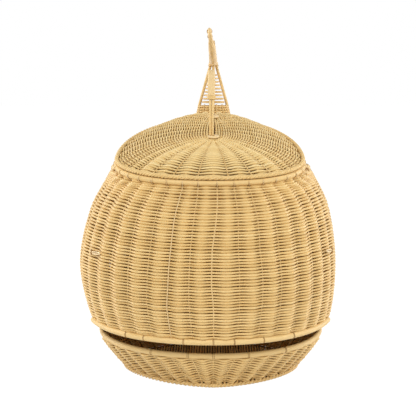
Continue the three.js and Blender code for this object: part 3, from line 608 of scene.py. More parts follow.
# One more row follows the rim, and one the lip.
lip_line = lifted(lip_flat, lip_heights)
for line, offset, band in ((rim_line, -RIM_CANE - 1.5, "upper"), (lip_line, LIP_CANE + 1.5, "lower")):
    heights = line[:, 2] + offset
    flat = on_body(np.minimum(heights, body_grid[-1, :, 2] - 0.5))
    if band == "lower":
        flat = with_tail(flat, heights)
    out = flat_outward(flat)
    points = lifted(flat - out * (WEAVER_RADIUS + WEAVE_DEPTH), heights)
    facts = {"outward": lifted(out), "column": columns_at(line[:, 2]), "strand": 190 + len(row_lines[band])}
    row_lines[band].append(ring(points, **facts))
shells = ["body_shell", "shoulder_shell", "tail_root_shell"]
for band, nodes in (("middle", shells), ("lower", ()), ("upper", ())):
    name, lines = f"body_weave_{band}", row_lines[band]
    woven(name, lines, WEAVER_RADIUS, weaver_finish, nodes, "woven_rattan", wave=WEAVE_DEPTH)

# The inner face of the weave, seen between the weavers and when the lid is off.
LINING_INSET, LINING_CANE = 10.4, 1.7
lining = []
every = np.arange(0, all_samples, 3)
for number, height in enumerate(np.array(row_heights) + 1.6):
    flat, heights = row_path(height, LINING_INSET)
    keep = (heights > lip_heights + 2) & (heights < rim_line[:, 2] - 9)
    for run in kept_runs(keep, every):
        if len(run) > 5:
            kind = ring if len(run) == len(every) else cane
            lining.append(kind(lifted(flat, heights)[run], strand=260 + number, thickness=1.08))
woven("body_inner_face", lining, LINING_CANE, inner_finish, slot="woven_rattan", sides=5)


# Stakes of the body: thick ones behind the weavers and thin ones in front of them.
def body_stake(column, inset):
    angle = column_angle(column % BODY_COLUMNS)
    index = int(round((column % BODY_COLUMNS) * SAMPLES)) % all_samples
    points = []
    for height in np.linspace(lip_heights[index] + 1, rim_line[index, 2] - 1, 26):
        moved = (column + twist(angle, height) * columns_per_angle[index]) * SAMPLES
        start = int(np.floor(moved))
        flat = on_body(height, (start + np.arange(-1, 3)) % all_samples)
        if height < JOIN_HEIGHT:
            flat = with_tail(flat, height)
        along = flat[3] - flat[0]
        out = np.array([along[1], -along[0]]) / np.linalg.norm(along)
        place = flat[1] + (flat[2] - flat[1]) * (moved - start)
        points.append([*(place - out * inset), height])
    return np.array(points)


fat_inset = 2 * WEAVER_RADIUS + FAT_STAKE
thin_inset = 2 * WEAVE_DEPTH + 0.2
# How far each thin stake stands out; three of them show more than the others.
thin_lifts = [{35: -0.9, 33: 0.2, 4: -1.2}.get(c, -2.2 + 0.5 * rng.random()) for c in range(BODY_COLUMNS)]
fat_lines, thin_lines = [], []
for c in range(BODY_COLUMNS):
    fat_lines.append(cane(body_stake(c, fat_inset), strand=200 + c))
    points = body_stake(c + 0.5, thin_inset - thin_lifts[c])
    thin_lines.append(cane(points, strand=300 + c, thickness=1 + 0.1 * rng.normal()))
woven("body_stakes_hidden", fat_lines, FAT_STAKE, stake_finish)
woven("body_stakes_shown", thin_lines, THIN_STAKE, thin_finish)

# Woven top of the tail root, above the place where it leaves the body.
TAIL_COLUMNS, TAIL_WAVE, TAIL_STAKE = 14, 1.0, 1.3
tail_turns = np.arange(TAIL_COLUMNS * SAMPLES) / SAMPLES
tail_angles = 2 * np.pi * tail_turns / TAIL_COLUMNS
tail_rows = []
for number, height in enumerate(np.arange(291, TAIL_TOP_HEIGHT - 1, 3.5)):
    points = tail_point(np.full(len(tail_angles), height), tail_angles)
    out = flat_outward(points[:, :2])
    points[:, :2] -= out * (WEAVER_RADIUS + TAIL_WAVE)
    tail_rows.append(ring(points, outward=lifted(out), column=tail_turns, strand=400 + number))
woven("tail_root_weave", tail_rows, WEAVER_RADIUS, weaver_finish, slot="woven_rattan", wave=TAIL_WAVE)
tail_stakes = []
for c in range(TAIL_COLUMNS):
    angle = 2 * np.pi * (c + 0.5) / TAIL_COLUMNS
    tail_stakes.append(cane(np.stack([tail_point(h, angle, 1.6) for h in np.linspace(296, 346, 8)])))
woven("tail_root_stakes", tail_stakes, TAIL_STAKE, stake_finish, sides=6)

# Thick canes of the openings.
fine_turns = np.linspace(0, 2 * np.pi, 288, endpoint=False)
rope_turns = np.linspace(0, 2 * np.pi, 840, endpoint=False)


def foot_oval(turns, height, inset=0):
    """The oval of the foot, or one that lies inside it."""
    form = {"lean": -3, "squareness": 1.2, "rear_squareness": 1}
    x, y = oval_point(turns, FOOT_HALF_WIDTH - inset, FOOT_FRONT + inset, FOOT_REAR - inset, **form)
    return np.column_stack([x, y, np.full(len(x), height)])


rim_fine = np.stack(body_point(np.ones_like(fine_turns), fine_turns), -1)
jaw_rim_flat = oval_point(fine_turns, JAW_HALF_WIDTH, JAW_FRONT, JAW_REAR, -3.5, squareness=0.95)
jaw_rim_line = np.column_stack([*jaw_rim_flat, jaw_rim_height_at(jaw_rim_flat[1])])
for name, line, radius, strand, solid in (
    ("top_rim_cane", rim_fine, RIM_CANE, 0, "body_rim_cane"),
    ("mouth_lip_cane", lip_line, LIP_CANE, 3, "upper_lip_cane"),
    ("jaw_opening_cane", jaw_rim_line, JAW_CANE, 5, "jaw_rim_cane"),
):
    woven(name, [ring(line, strand=strand)], radius, rim_finish, [solid], sides=16)

# Ties: pale ones over the rim, dark legs beside them in front, and dark ones over the lips.
RIM_TIE, DARK_TIE = 0.7, 0.36
TIE_START, TIE_TOP, LIP_TIE_END, DARK_LEG_REACH = -108, 34, 100, math.radians(60)
rim_out, lip_out, jaw_out = (lifted(flat_outward(line[:, :2])) for line in (rim_line, lip_line, jaw_rim_line))
rim_ties, knots = [], []
for column in range(BODY_COLUMNS):
    index = int((column + 0.5) * SAMPLES)
    shift = twist(row_angles[index], rim_line[index, 2]) * columns_per_angle[index]
    at = (column + 0.5 + shift) * SAMPLES
    reach = RIM_CANE + 0.3
    top = TIE_TOP + 16 * rng.random()
    rim_ties.append(cane(tie(rim_line, rim_out, at, reach, TIE_START, top, 0.3), strand=340 + column))
    if abs(nose_of(row_angles[index])) < DARK_LEG_REACH:
        for lean in (-1.7, 1.8):
            leg = tie(rim_line, rim_out, at, reach, TIE_START, top - 8 * rng.random(), lean)
            knots.append(cane(leg, strand=380 + column))
woven("rim_ties", rim_ties, RIM_TIE, thin_finish, sides=6)
for line, outward, radius, across in (
    (lip_line, lip_out, LIP_CANE, (-107, -85, -37, 0, 26, 61, 98)),
    (jaw_rim_line, jaw_out, JAW_CANE, (-77, -31, 0, 44, 90)),
):
    front = np.where(line[:, 1] < 0)[0]
    nearest = [float(front[np.argmin(np.abs(line[front, 0] - x))]) for x in across]
    pairs = [at + side for at in nearest for side in (-0.25, 0.25)]
    for at in [*pairs, *(np.arange(0.31, 0.7, 0.055) * len(line))]:
        knots.append(cane(tie(line, outward, at, radius + 0.1, -LIP_TIE_END, LIP_TIE_END, 0.4)))
woven("dark_ties", knots, DARK_TIE, tie_finish, sides=5)

# Rope of two canes round the foot.
ROPE_CANE, FOOT_TURNS, FOOT_SPREAD = 1.6, 62, 1.35
foot_line = foot_oval(rope_turns, FOOT_CANE - 0.2)
foot_out = lifted(flat_outward(foot_line[:, :2]))
foot_rope = rope_lines(foot_line, foot_out, 2, FOOT_SPREAD, FOOT_TURNS, 8)
foot = woven("foot_ring", foot_rope, ROPE_CANE, rim_finish, ["foot_border"])
for corner in foot.data.vertices:
    corner.co.z = max(corner.co.z, 0.0)


# Lower jaw: rows up the slant of the bowl, with gaps left open under its rim.
def jaw_outline(share, angle):
    belly = 2 * math.sin(math.pi * share)
    x, y = oval_point(
        angle,
        FOOT_HALF_WIDTH + (JAW_HALF_WIDTH - FOOT_HALF_WIDTH) * share + belly,
        FOOT_FRONT + (JAW_FRONT - FOOT_FRONT) * share - belly,
        FOOT_REAR + (JAW_REAR - FOOT_REAR) * share + belly,
        lean=-3 - 0.5 * share,
        squareness=1.2 - 0.25 * share,
        rear_squareness=1 - 0.05 * share,
    )
    low, high = 2 * FOOT_CANE - 0.5 + SEAT_GAP, jaw_rim_height_at(y) - JAW_CANE - SEAT_GAP
    return np.column_stack([x, y]), low + (high - low) * share


JAW_COLUMNS, JAW_ROWS, JAW_STAKE = 36, 11, 2.1
JAW_FIRST_SHARE, JAW_SHARES, JAW_REAR_PACKING = 0.03, 0.93, 1.32
HIDDEN_INSET, THIN_INSET, SHOWN_INSET = 2.6, 2.4, 0.2
jaw_turns = np.arange(JAW_COLUMNS * SAMPLES) / SAMPLES
jaw_angles = 2 * np.pi * (jaw_turns + 0.5) / JAW_COLUMNS
jaw_phase = jaw_turns + 0.07 * np.sin(2 * np.pi * jaw_turns)
jaw_behind = smooth((1.2 - np.cos(jaw_angles) - 0.75) / 0.3)
jaw_packing = packing(jaw_phase, 1.2, 0.92) * (1 - jaw_behind) + JAW_REAR_PACKING * jaw_behind


def jaw_row(number):
    """Outline, heights, and level and tilted outward directions of a row of the jaw."""
    flat, heights = jaw_outline(JAW_FIRST_SHARE + JAW_SHARES * number / (JAW_ROWS - 1), jaw_angles)
    out = flat_outward(flat)
    return flat, heights, out, lifted(out, -0.35)


jaw_lines = []
for number in range(JAW_ROWS):
    flat, heights, out, outward = jaw_row(number)
    sag = -0.1 * np.cos(2 * np.pi * jaw_turns) + 0.25 * rng.normal()
    facts = {"outward": outward, "column": jaw_phase, "thickness": jaw_packing * (1 + 0.04 * rng.normal())}
    jaw_lines.append(ring(lifted(flat - out * 0.6, heights + sag), strand=500 + number, **facts))
# Behind, where the bowl is wider, more rows fill it.
run = np.where(jaw_behind > 0.02)[0]
ends = np.clip(np.minimum(np.arange(len(run)), np.arange(len(run))[::-1]) / 8, 0.15, 1)
for number in range(JAW_ROWS - 1):
    flat, heights, out, outward = jaw_row(number + 0.5)
    facts = {"outward": outward[run], "column": jaw_phase[run], "thickness": 1.15 * ends**0.5}
    jaw_lines.append(cane(lifted(flat - out * 0.9, heights)[run], strand=520 + number, **facts))
woven("jaw_weave", jaw_lines, WEAVER_RADIUS, weaver_finish, ["jaw_wall"], "woven_rattan", wave=WEAVE_DEPTH)


def jaw_stake(column, inset):
    points = []
    for share in np.linspace(-0.02, 1.03, 9):
        angle = 2 * np.pi * (column + 0.5 + np.array([-0.1, 0, 0.1])) / JAW_COLUMNS
        flat, height = jaw_outline(share, angle)
        along = flat[2] - flat[0]
        out = np.array([along[1], -along[0]]) / np.linalg.norm(along)
        points.append([*(flat[1] - out * inset), height[1] + 0.3 * inset])
    return np.array(points)


jaw_stakes = [cane(jaw_stake(c, HIDDEN_INSET), strand=540 + c) for c in range(JAW_COLUMNS)]
for c in range(JAW_COLUMNS):
    jaw_stakes.append(cane(jaw_stake(c + 0.5, THIN_INSET), strand=570 + c, thickness=0.5))
# Their cut ends show under the lowest row.
for column in range(2 * JAW_COLUMNS):
    end = jaw_stake(column / 2 + 0.06 * rng.normal(), SHOWN_INSET)
    low = end[0] + (end[1] - end[0]) * 0.5
    foot_end = end[0] + np.array([0, 0, -2.6 - rng.random()])
    foot_end[:2] *= 1 + 0.009 * rng.random()
    jaw_stakes.append(cane(np.array([low, end[0], foot_end]), strand=610 + column, thickness=0.5))
woven("jaw_stakes", jaw_stakes, JAW_STAKE, stake_finish)

# Woven base: canes from front to back, in and out of cross stakes.
BASE_PITCH, BASE_CANE, BASE_HEIGHT, BASE_WAVE = 3.7, 1.35, 3.9, 0.3
BASE_STAKE_PITCH, BASE_STAKE, BASE_STAKE_HEIGHT = 2.5, 1.3, 1.4
base_edge = foot_oval(np.linspace(0, 2 * np.pi, 721), 0, FOOT_CANE + SEAT_GAP + BASE_CANE)


def base_span(axis, value):
    """Where a straight line across the base, at a value on one axis, starts and ends on the other."""
    side = base_edge[:, axis] - value
    crossing = np.where(side[:-1] * side[1:] <= 0)[0]
    ends = base_edge[crossing, 1 - axis]
    return (ends.min(), ends.max()) if len(crossing) > 1 else (0, 0)


base_lines, base_stakes = [], []
for number in range(-30, 31):
    x = number * BASE_PITCH - 3
    low, high = base_span(0, x)
    if high - low >= 12:
        y = np.linspace(low, high, max(8, int((high - low) / 2.2)))
        points = np.column_stack([np.full(len(y), x), y, np.full(len(y), BASE_HEIGHT)])
        base_lines.append(cane(points, outward=(0, 0, 1), column=y / 20 + 0.5, strand=1600 + number))
for number in range(-44, 50):
    y = number * BASE_STAKE_PITCH
    low, high = base_span(1, y)
    if high > low:
        points = np.array([[x, y, BASE_STAKE_HEIGHT] for x in (low + 1, 0, high - 1)])
        base_stakes.append(cane(points, strand=1700 + number))
# The base canes carry painted light: they are lighter than the weavers because they lie in shade.
woven("base_weave", base_lines, BASE_CANE, base_painted_light_finish, ["base_panel"], "woven_rattan", BASE_WAVE, 6)
# The cross stakes and the ring under the base are dark as painted shade in the gaps between the base canes.
base_stakes.append(ring(foot_oval(fine_turns, 4.4, 4), thickness=1.6, strand=1760))
woven("base_stakes", base_stakes, BASE_STAKE, dark_and_shade_finish, sides=6)

# Lid, in its own frame: x across, y towards the tail along the opening, z square to it.
lid_half_length = (RIM_REAR - RIM_FRONT) / 2 / math.cos(RIM_TILT)
lid_cane_height = RIM_CANE + LID_CANE + SEAT_GAP
lid_edge_height = lid_cane_height + 2
SPINE, DOME_RISE, DOME_POWER = 54, 24, 2.8
lid_centre = (RIM_FRONT + RIM_REAR) / 2
LID_ORIGIN = np.array([0, lid_centre, rim_height_at(lid_centre)])
LID_FORM = {"waist": 0.38, "squareness": 0.88, "rear_squareness": 1.0}


def to_basket(points):
    p = np.atleast_2d(points)
    c, s = math.cos(RIM_TILT), math.sin(RIM_TILT)
    return np.stack([p[:, 0], p[:, 1] * c - p[:, 2] * s, p[:, 1] * s + p[:, 2] * c], 1) + LID_ORIGIN


def turned(directions):
    return to_basket(directions) - LID_ORIGIN


def lid_border(angle, inset=0.0):
    half_length = lid_half_length - inset
    x, y = oval_point(angle, RIM_HALF_WIDTH - inset, -half_length, half_length, RIM_LEAN, -3, **LID_FORM)
    return np.stack([x, y], -1)


def lid_point(share, angle, inset=3.5):
    spine = np.stack(oval_point(angle, 0, -SPINE, SPINE, **LID_FORM), -1)
    share = np.broadcast_to(share, np.shape(angle))
    flat = spine * (1 - share[..., None]) + lid_border(angle, inset) * share[..., None]
    return np.concatenate([flat, (lid_edge_height + DOME_RISE * (1 - share[..., None] ** DOME_POWER))], -1)


def lid_outward(share, angle):
    side = lid_point(share, angle + 0.01) - lid_point(share, angle - 0.01)
    down = lid_point(share + 0.01, angle) - lid_point(share - 0.01, angle)
    out = np.cross(down, side)
    out /= np.maximum(np.linalg.norm(out, axis=-1), 1e-9)[..., None]
    return out * np.sign(out[..., 2:3])


LID_COLUMNS, LID_ROWS = 36, 34
LID_WEAVER, LID_WAVE, LID_STAKE = 1.42, 1.5, 1.7
LID_FIRST_SHARE, LID_SIDE_SHARES, LID_END_SHARES = 0.04, 0.957, 0.958
LID_PART_ROWS, LID_TUCK = ((38, 142), (218, 322)), 9
lid_sweep = np.linspace(0, 2 * np.pi, 2001)
lid_crowding = 1 + 0.65 * smooth((np.abs(nose_of(lid_sweep)) - math.radians(42)) / 0.45)
lid_share = np.concatenate([[0], np.cumsum((lid_crowding[1:] + lid_crowding[:-1]) / 2)])
lid_share *= LID_COLUMNS / lid_share[-1]
lid_turns = np.arange(LID_COLUMNS * 8) / 8


def lid_angle(column):
    """Angle of a column of the lid's weave: wide apart in front, close together elsewhere."""
    return np.interp(np.asarray(column, float) % LID_COLUMNS, lid_share, lid_sweep)


lid_angles = lid_angle(lid_turns)
lid_degrees = np.degrees(lid_angles)
side_share = smooth((np.abs(np.sin(lid_angles)) - 0.35) / 0.55)
ahead = smooth((np.cos(lid_angles) - 0.3) / 0.4)
corner = 0.3 * np.exp(-(((np.abs(nose_of(lid_angles)) - math.radians(38)) / 0.16) ** 2))
lid_packing = packing(lid_turns, 1.03 + 0.13 * ahead, 0.6 + 0.24 * ahead)
# Every third row runs only along the sides, where the lid is longest from its spine to its rim.
full_rows = [k for k in range(LID_ROWS) if k % 3 != 1]
lid_rows = []
for k in range(LID_ROWS):
    at_side = LID_FIRST_SHARE + LID_SIDE_SHARES * k / (LID_ROWS - 1)
    done = sum(j < k for j in full_rows) - (0 if k in full_rows else 0.5)
    at_end = LID_FIRST_SHARE + LID_END_SHARES * done / (len(full_rows) - 1)
    share = at_end * (1 - side_share) + at_side * side_share
    out = lid_outward(share, lid_angles)
    points = to_basket(lid_point(share, lid_angles) - out * (LID_WEAVER + LID_WAVE))
    fan = smooth((0.42 - share) / 0.08) * ahead
    thickness = lid_packing * (1 + 0.2 * fan + 0.12 * (1 - side_share) + corner)
    # Shorter towards the front: a smaller wave and less painted shade there.
    outward = turned(out) * (1.1 - 0.4 * ahead)[:, None]
    facts = {"outward": outward, "column": lid_turns, "thickness": thickness}
    if k in full_rows:
        lid_rows.append(ring(points, strand=700 + k, **facts))
        continue
    for low, high in LID_PART_ROWS:
        run = np.where((lid_degrees >= low) & (lid_degrees <= high))[0]
        tuck = np.clip(np.minimum(lid_degrees[run] - low, high - lid_degrees[run]) / LID_TUCK, 0.15, 1)
        line = {key: value[run] for key, value in facts.items()}
        line["thickness"] = line["thickness"] * tuck**0.5
        lid_rows.append(cane(points[run], strand=700 + k, **line))
woven("lid_weave", lid_rows, LID_WEAVER, lid_finish, ["lid_shell"], "woven_rattan", LID_WAVE, 7, "lid")


def lid_stake(column, depth, low=0.02):
    shares = np.linspace(low, 1.0, 14)
    angles = np.full(14, float(lid_angle(column)))
    out = lid_outward(np.clip(shares, 0.03, 0.97), angles)
    return to_basket(lid_point(shares, angles, 1.5) - out * depth)


hidden_depth = 2 * LID_WEAVER + 1.5
lid_stakes = [cane(lid_stake(c, hidden_depth), strand=740 + c) for c in range(LID_COLUMNS)]
for c in range(LID_COLUMNS):
    lid_stakes.append(cane(lid_stake(c + 0.5, 3.4, 0.3), strand=780 + c, thickness=0.5))
woven("lid_stakes", lid_stakes, LID_STAKE, stake_finish, sides=7, body="lid")
border = lifted(lid_border(rope_turns), lid_cane_height)
border_out = lifted(flat_outward(border[:, :2]))
BORDER_TURNS, BORDER_SPREAD = 50, 1.25
border_rope = rope_lines(to_basket(border), turned(border_out), 3, BORDER_SPREAD, BORDER_TURNS, 740)
woven("lid_edge_cane", border_rope, ROPE_CANE, rim_finish, ["lid_border_cane"], body="lid")

# Handle: two canes side by side, wrapped over the grip, on two small woven bosses.
HANDLE_SPREAD, HANDLE_HEIGHT, HANDLE_CANE, HANDLE_SHIFT = 50, 106, 1.45, -2.4
HUB_RADIUS, HUB_HEIGHT, HUB_CANE = 8, 3, 1.3
GRIP_START, GRIP_BINDING, GRIP_STRIP, GRIP_CANE, BINDING_CANE = 0.225, 0.025, 0.75, 1.05, 0.95
hub_height = lid_edge_height + DOME_RISE
handle_foot = hub_height + HUB_HEIGHT + 2 * SEAT_GAP
handle_spacing = HANDLE_CANE + SEAT_GAP / 2


def handle_point(turn, sideways=0.0):
    angle = np.pi * (1 - np.asarray(turn, float))
    along = HANDLE_SPREAD * soft_power(np.cos(angle), 0.8)
    rise = (HANDLE_HEIGHT - handle_foot) * np.maximum(0, np.sin(angle)) ** 0.8
    return np.stack(np.broadcast_arrays(HANDLE_SHIFT + sideways, along, handle_foot + rise), -1)


handle_turns = np.linspace(0, 1, 120)
for side, name in ((-1, "left"), (1, "right")):
    bow = cane(to_basket(handle_point(handle_turns, side * handle_spacing)), strand=12 + side)
    solid = f"handle_cane_{name}"
    woven(f"handle_bow_{name}", [bow], HANDLE_CANE, rim_finish, [solid], sides=12, body="lid")


def wrap_line(path, half_width, half_height, turns, samples=20):
    """One flat strip wound round a path; the path gives a point, and its side and lift directions."""
    steps = np.linspace(0, 1, turns * samples + 1)
    angle = 2 * np.pi * steps * turns
    centre, side, lift = path(steps)
    x = half_width * soft_power(np.cos(angle), 0.7)
    z = half_height * soft_power(np.sin(angle), 0.7)
    return centre + side * x[:, None] + lift * z[:, None]


def handle_path(low, high):
    def path(steps):
        turn = low + (high - low) * steps
        centre = handle_point(turn)
        along = handle_point(turn + 0.004) - handle_point(turn - 0.004)
        along /= np.linalg.norm(along, axis=1)[:, None]
        side = np.broadcast_to(np.array([1.0, 0, 0]), centre.shape)
        return to_basket(centre), side, turned(np.cross(side, along))

    return path


wrap_width, wrap_height = HANDLE_CANE + handle_spacing + GRIP_STRIP, HANDLE_CANE + GRIP_STRIP
WRAPPED = {"slot": "wrapped_rattan", "body": "lid"}
grip = wrap_line(handle_path(GRIP_START + 0.003, 1 - GRIP_START - 0.003), wrap_width, wrap_height, 62)
woven("grip_wrapping", [cane(grip)], GRIP_CANE, wrap_finish, ["handle_grip"], sides=6, **WRAPPED)
for name, low in (("front", GRIP_START - GRIP_BINDING), ("rear", 1 - GRIP_START)):
    path = handle_path(low, low + GRIP_BINDING)
    end = cane(wrap_line(path, wrap_width + 0.9, wrap_height + 0.9, 3))
    woven(f"grip_end_{name}", [end], BINDING_CANE, rim_finish, [f"handle_binding_{name}"], sides=6, **WRAPPED)

# The bosses are cane coiled into low round knobs.
coil_turns = np.linspace(0, 4.2 * 2 * np.pi, 130)
coil_radius = 1.6 + (HUB_RADIUS - 3.2) * coil_turns / coil_turns[-1]
coil_lift = 1.35 + (HUB_HEIGHT - 2.7) * (1 - coil_turns / coil_turns[-1])
for name, along in (("front", -HANDLE_SPREAD), ("rear", HANDLE_SPREAD)):
    x, y = coil_radius * np.cos(coil_turns), along + coil_radius * np.sin(coil_turns)
    coil = cane(to_basket(np.column_stack([x, y, hub_height + SEAT_GAP + coil_lift])), strand=17)
    woven(f"hub_coil_{name}", [coil], HUB_CANE, wrap_finish, [f"lid_hub_{name}"], **WRAPPED)

# Tail stock: four canes with rings of cane inside them, wound round at the neck.
for quarter, name in enumerate(("front", "right", "rear", "left")):
    heights = np.linspace(TAIL_TOP_HEIGHT - 5, TAIL_APEX_HEIGHT - 0.6, 24)
    upright = cane(tail_point(heights, quarter * np.pi / 2, TAIL_CANE), strand=20 + quarter)
    woven(f"stock_cane_{name}", [upright], TAIL_CANE, rim_finish, [f"tail_cane_{name}"], sides=12)
for index in range(SLAT_COUNT):
    height = TAIL_TOP_HEIGHT + (index + 0.6) * SLAT_PITCH
    angles = np.linspace(0, 2 * np.pi, 40, endpoint=False)
    points = tail_point(np.full(40, height), angles, 2 * TAIL_CANE + SEAT_GAP + SLAT_CANE)
    slat = ring(points, strand=30 + index)
    woven(f"stock_ring_{index + 1}", [slat], SLAT_CANE, weaver_finish, [f"tail_slat_{index + 1}"])


WINDING_CANE, WINDING_START, WINDING_LENGTH = 0.72, -4.5, 5.3


def stock_path(steps):
    height = TAIL_APEX_HEIGHT + WINDING_START + WINDING_LENGTH * steps
    centre, half_width, half_depth = tail_size_at(height)
    none = np.zeros_like(height)
    wide = np.column_stack([half_width + 0.8, none, none])
    deep = np.column_stack([none, half_depth + 0.8, none])
    return np.column_stack([none, centre, height]), wide, deep


winding = [cane(wrap_line(stock_path, 1.0, 1.0, 4, 24))]
woven("stock_winding", winding, WINDING_CANE, wrap_finish, ["tail_binding"], "wrapped_rattan", sides=7)

# Flukes, flat in the middle plane and leaning a little to the left.
FLUKE_LEAN = math.radians(-7)
FLUKE_FRAME, FLUKE_SIDE, FLUKE_STEPS = 3.0, 1.5, 480
FRONT_REACH, FRONT_RISE, REAR_REACH, REAR_RISE, NOTCH_RISE = 88, 41, 82, 38, 23
fluke_corners = np.array(
    [
        [0, 0],
        [-0.4 * FRONT_REACH, 0.1 * FRONT_RISE],
        [-0.8 * FRONT_REACH, 0.5 * FRONT_RISE],
        [-FRONT_REACH, FRONT_RISE - 2],
        [-0.9 * FRONT_REACH, FRONT_RISE],
        [-0.45 * FRONT_REACH, 0.92 * FRONT_RISE],
        [0, NOTCH_RISE],
        [0.45 * REAR_REACH, 0.92 * REAR_RISE],
        [0.9 * REAR_REACH, REAR_RISE],
        [REAR_REACH, REAR_RISE - 2],
        [0.8 * REAR_REACH, 0.5 * REAR_RISE],
        [0.4 * REAR_REACH, 0.1 * REAR_RISE],
    ]
)
fluke_corners[:, 1] += FLUKE_FRAME


def closed_spline(corners, steps):
    """Centripetal curve through the corners, closed, at even distances."""
    count = len(corners)
    out = []
    for i in range(count):
        p0, p1, p2, p3 = (corners[(i + k) % count] for k in (-1, 0, 1, 2))
        d0, d1, d2 = (math.sqrt(math.dist(a, b)) for a, b in ((p0, p1), (p1, p2), (p2, p3)))
        t1 = ((p1 - p0) / d0 - (p2 - p0) / (d0 + d1) + (p2 - p1) / d1) * d1
        t2 = ((p2 - p1) / d1 - (p3 - p1) / (d1 + d2) + (p3 - p2) / d2) * d1
        w = np.linspace(0, 1, 40, endpoint=False)[:, None]
        out.append(p1 + t1 * w + (-3 * p1 + 3 * p2 - 2 * t1 - t2) * w**2 + (2 * p1 - 2 * p2 + t1 + t2) * w**3)
    out = np.vstack(out)
    loop = np.vstack([out, out[:1]])
    walk = np.concatenate([[0], np.cumsum(np.linalg.norm(np.diff(loop, axis=0), axis=1))])
    at = np.linspace(0, walk[-1], steps, endpoint=False)
    return np.column_stack([np.interp(at, walk, loop[:, 0]), np.interp(at, walk, loop[:, 1])])


fluke_line = closed_spline(fluke_corners, FLUKE_STEPS)
fluke_out = np.roll(fluke_line, -1, 0) - np.roll(fluke_line, 1, 0)
fluke_out = np.column_stack([fluke_out[:, 1], -fluke_out[:, 0]]) / np.linalg.norm(fluke_out, axis=1)[:, None]
if fluke_out[0, 1] > 0:
    fluke_out = -fluke_out


def fluke_place(points):
    p = np.atleast_2d(points)
    c, s = math.cos(FLUKE_LEAN), math.sin(FLUKE_LEAN)
    x = p[:, 0] * c + p[:, 2] * s
    z = -p[:, 0] * s + p[:, 2] * c
    return np.stack([x, p[:, 1] + TAIL_APEX[1], z + TAIL_APEX_HEIGHT + SEAT_GAP], 1)


def on_fluke(flat, x=0.0):
    flat = np.atleast_2d(flat)
    return fluke_place(np.column_stack([np.broadcast_to(x, (len(flat),)), flat[:, 0], flat[:, 1]]))


outline = ring(on_fluke(fluke_line[::2]), strand=41)
woven("fluke_outline_cane", [outline], FLUKE_FRAME, rim_finish, ["fluke_frame"], sides=14)
for side, name, tip_tuck in ((-1, "left", 62), (1, "right", 26)):
    reach = int(0.235 * FLUKE_STEPS)
    run = np.arange(-reach, reach + 1)
    tuck = np.radians(6 + (tip_tuck - 6) * np.abs(run) / reach)
    offset = FLUKE_FRAME + SEAT_GAP + FLUKE_SIDE
    edge = fluke_line[run] + fluke_out[run] * (offset * np.sin(tuck))[:, None]
    edge_cane = cane(on_fluke(edge, side * offset * np.cos(tuck)), strand=43 + side)
    woven(f"fluke_edge_{name}", [edge_cane], FLUKE_SIDE, wrap_finish, [f"fluke_side_cane_{name}"], sides=12)

# A wide strip fills the leading edge between the side canes, and its tips are tied.
STRIP_REACH, STRIP_RADIUS, TIP_TIE = 134, 5.2, 0.6
strip_run = np.arange(-STRIP_REACH, STRIP_REACH + 1)
strip = on_fluke(fluke_line[strip_run] + fluke_out[strip_run] * 3.0, 0.3)
strip_shape = 1 - 0.5 * smooth((np.abs(strip_run) - 84) / 50)
strip_cane = cane(strip, strand=46, thickness=strip_shape)
woven("fluke_edge_strip", [strip_cane], STRIP_RADIUS, wrap_finish, sides=16)
ring_turns = np.linspace(0, 2 * np.pi, 24, endpoint=False)
tip_rings = []
for at in (-158, -154, -150, 150, 156):
    reach = FLUKE_FRAME + 0.5
    flat = fluke_line[at] + fluke_out[at] * (reach * np.cos(ring_turns))[:, None]
    tip_rings.append(ring(on_fluke(flat, reach * np.sin(ring_turns)), strand=at))
woven("fluke_tip_ties", tip_rings, TIP_TIE, tie_finish, sides=6)


def inside_fluke(points, margin):
    """True where a point lies inside the crescent, at least a margin from its cane's middle line."""
    x, y = points[:, 0], points[:, 1]
    a, b = fluke_line, np.roll(fluke_line, -1, 0)
    crossing = (a[None, :, 1] > y[:, None]) != (b[None, :, 1] > y[:, None])
    with np.errstate(divide="ignore", invalid="ignore"):
        at = (b[None, :, 0] - a[None, :, 0]) * (y[:, None] - a[None, :, 1]) / (b[None, :, 1] - a[None, :, 1])
    odd = (crossing & (x[:, None] < at + a[None, :, 0])).sum(1) % 2 == 1
    near = np.min(np.hypot(x[:, None] - a[None, :, 0], y[:, None] - a[None, :, 1]), axis=1)
    return odd & (near > margin)


leading = fluke_line[np.arange(-165, 166, 2)]
lead_walk = np.concatenate([[0], np.cumsum(np.linalg.norm(np.diff(leading, axis=0), axis=1))])
lead_along = np.gradient(leading, axis=0)
lead_in = np.column_stack([-lead_along[:, 1], lead_along[:, 0]])
lead_in /= np.linalg.norm(lead_in, axis=1)[:, None]
if lead_in[len(leading) // 2, 1] < 0:
    lead_in = -lead_in
sideways = fluke_place([[1.0, 0, 0]]) - fluke_place([[0.0, 0, 0]])
WEB_CANE, WEB_WAVE, CROSS_CANE = 1.35, 0.65, 0.95
web_lines = []
for number in range(14):
    row = leading + lead_in * (FLUKE_FRAME + 1.3 + number * 2.9)
    for run in kept_runs(inside_fluke(row, FLUKE_FRAME + 0.6), np.arange(len(row))):
        if len(run) > 3:
            facts = {"outward": sideways, "column": lead_walk[run] / 18 + 0.5 * (number % 2)}
            web_lines.append(cane(on_fluke(row[run]), strand=60 + number, **facts))
woven("fluke_weave", web_lines, WEB_CANE, weaver_finish, ["fluke_web"], "woven_rattan", WEB_WAVE, 7)
cross_lines = []
for number, at in enumerate(np.arange(10, lead_walk[-1] - 8, 9.0)):
    start = np.array([np.interp(at, lead_walk, leading[:, k]) for k in (0, 1)])
    way = np.array([np.interp(at, lead_walk, lead_in[:, k]) for k in (0, 1)])
    row = start + way * np.linspace(2.0, 46, 60)[:, None]
    runs = kept_runs(inside_fluke(row, 2.2), np.arange(len(row)))
    if runs and len(runs[0]) > 4:
        cross_lines.append(cane(on_fluke(row[runs[0]]), strand=80 + number))
woven("fluke_stakes", cross_lines, CROSS_CANE, stake_finish, sides=6)
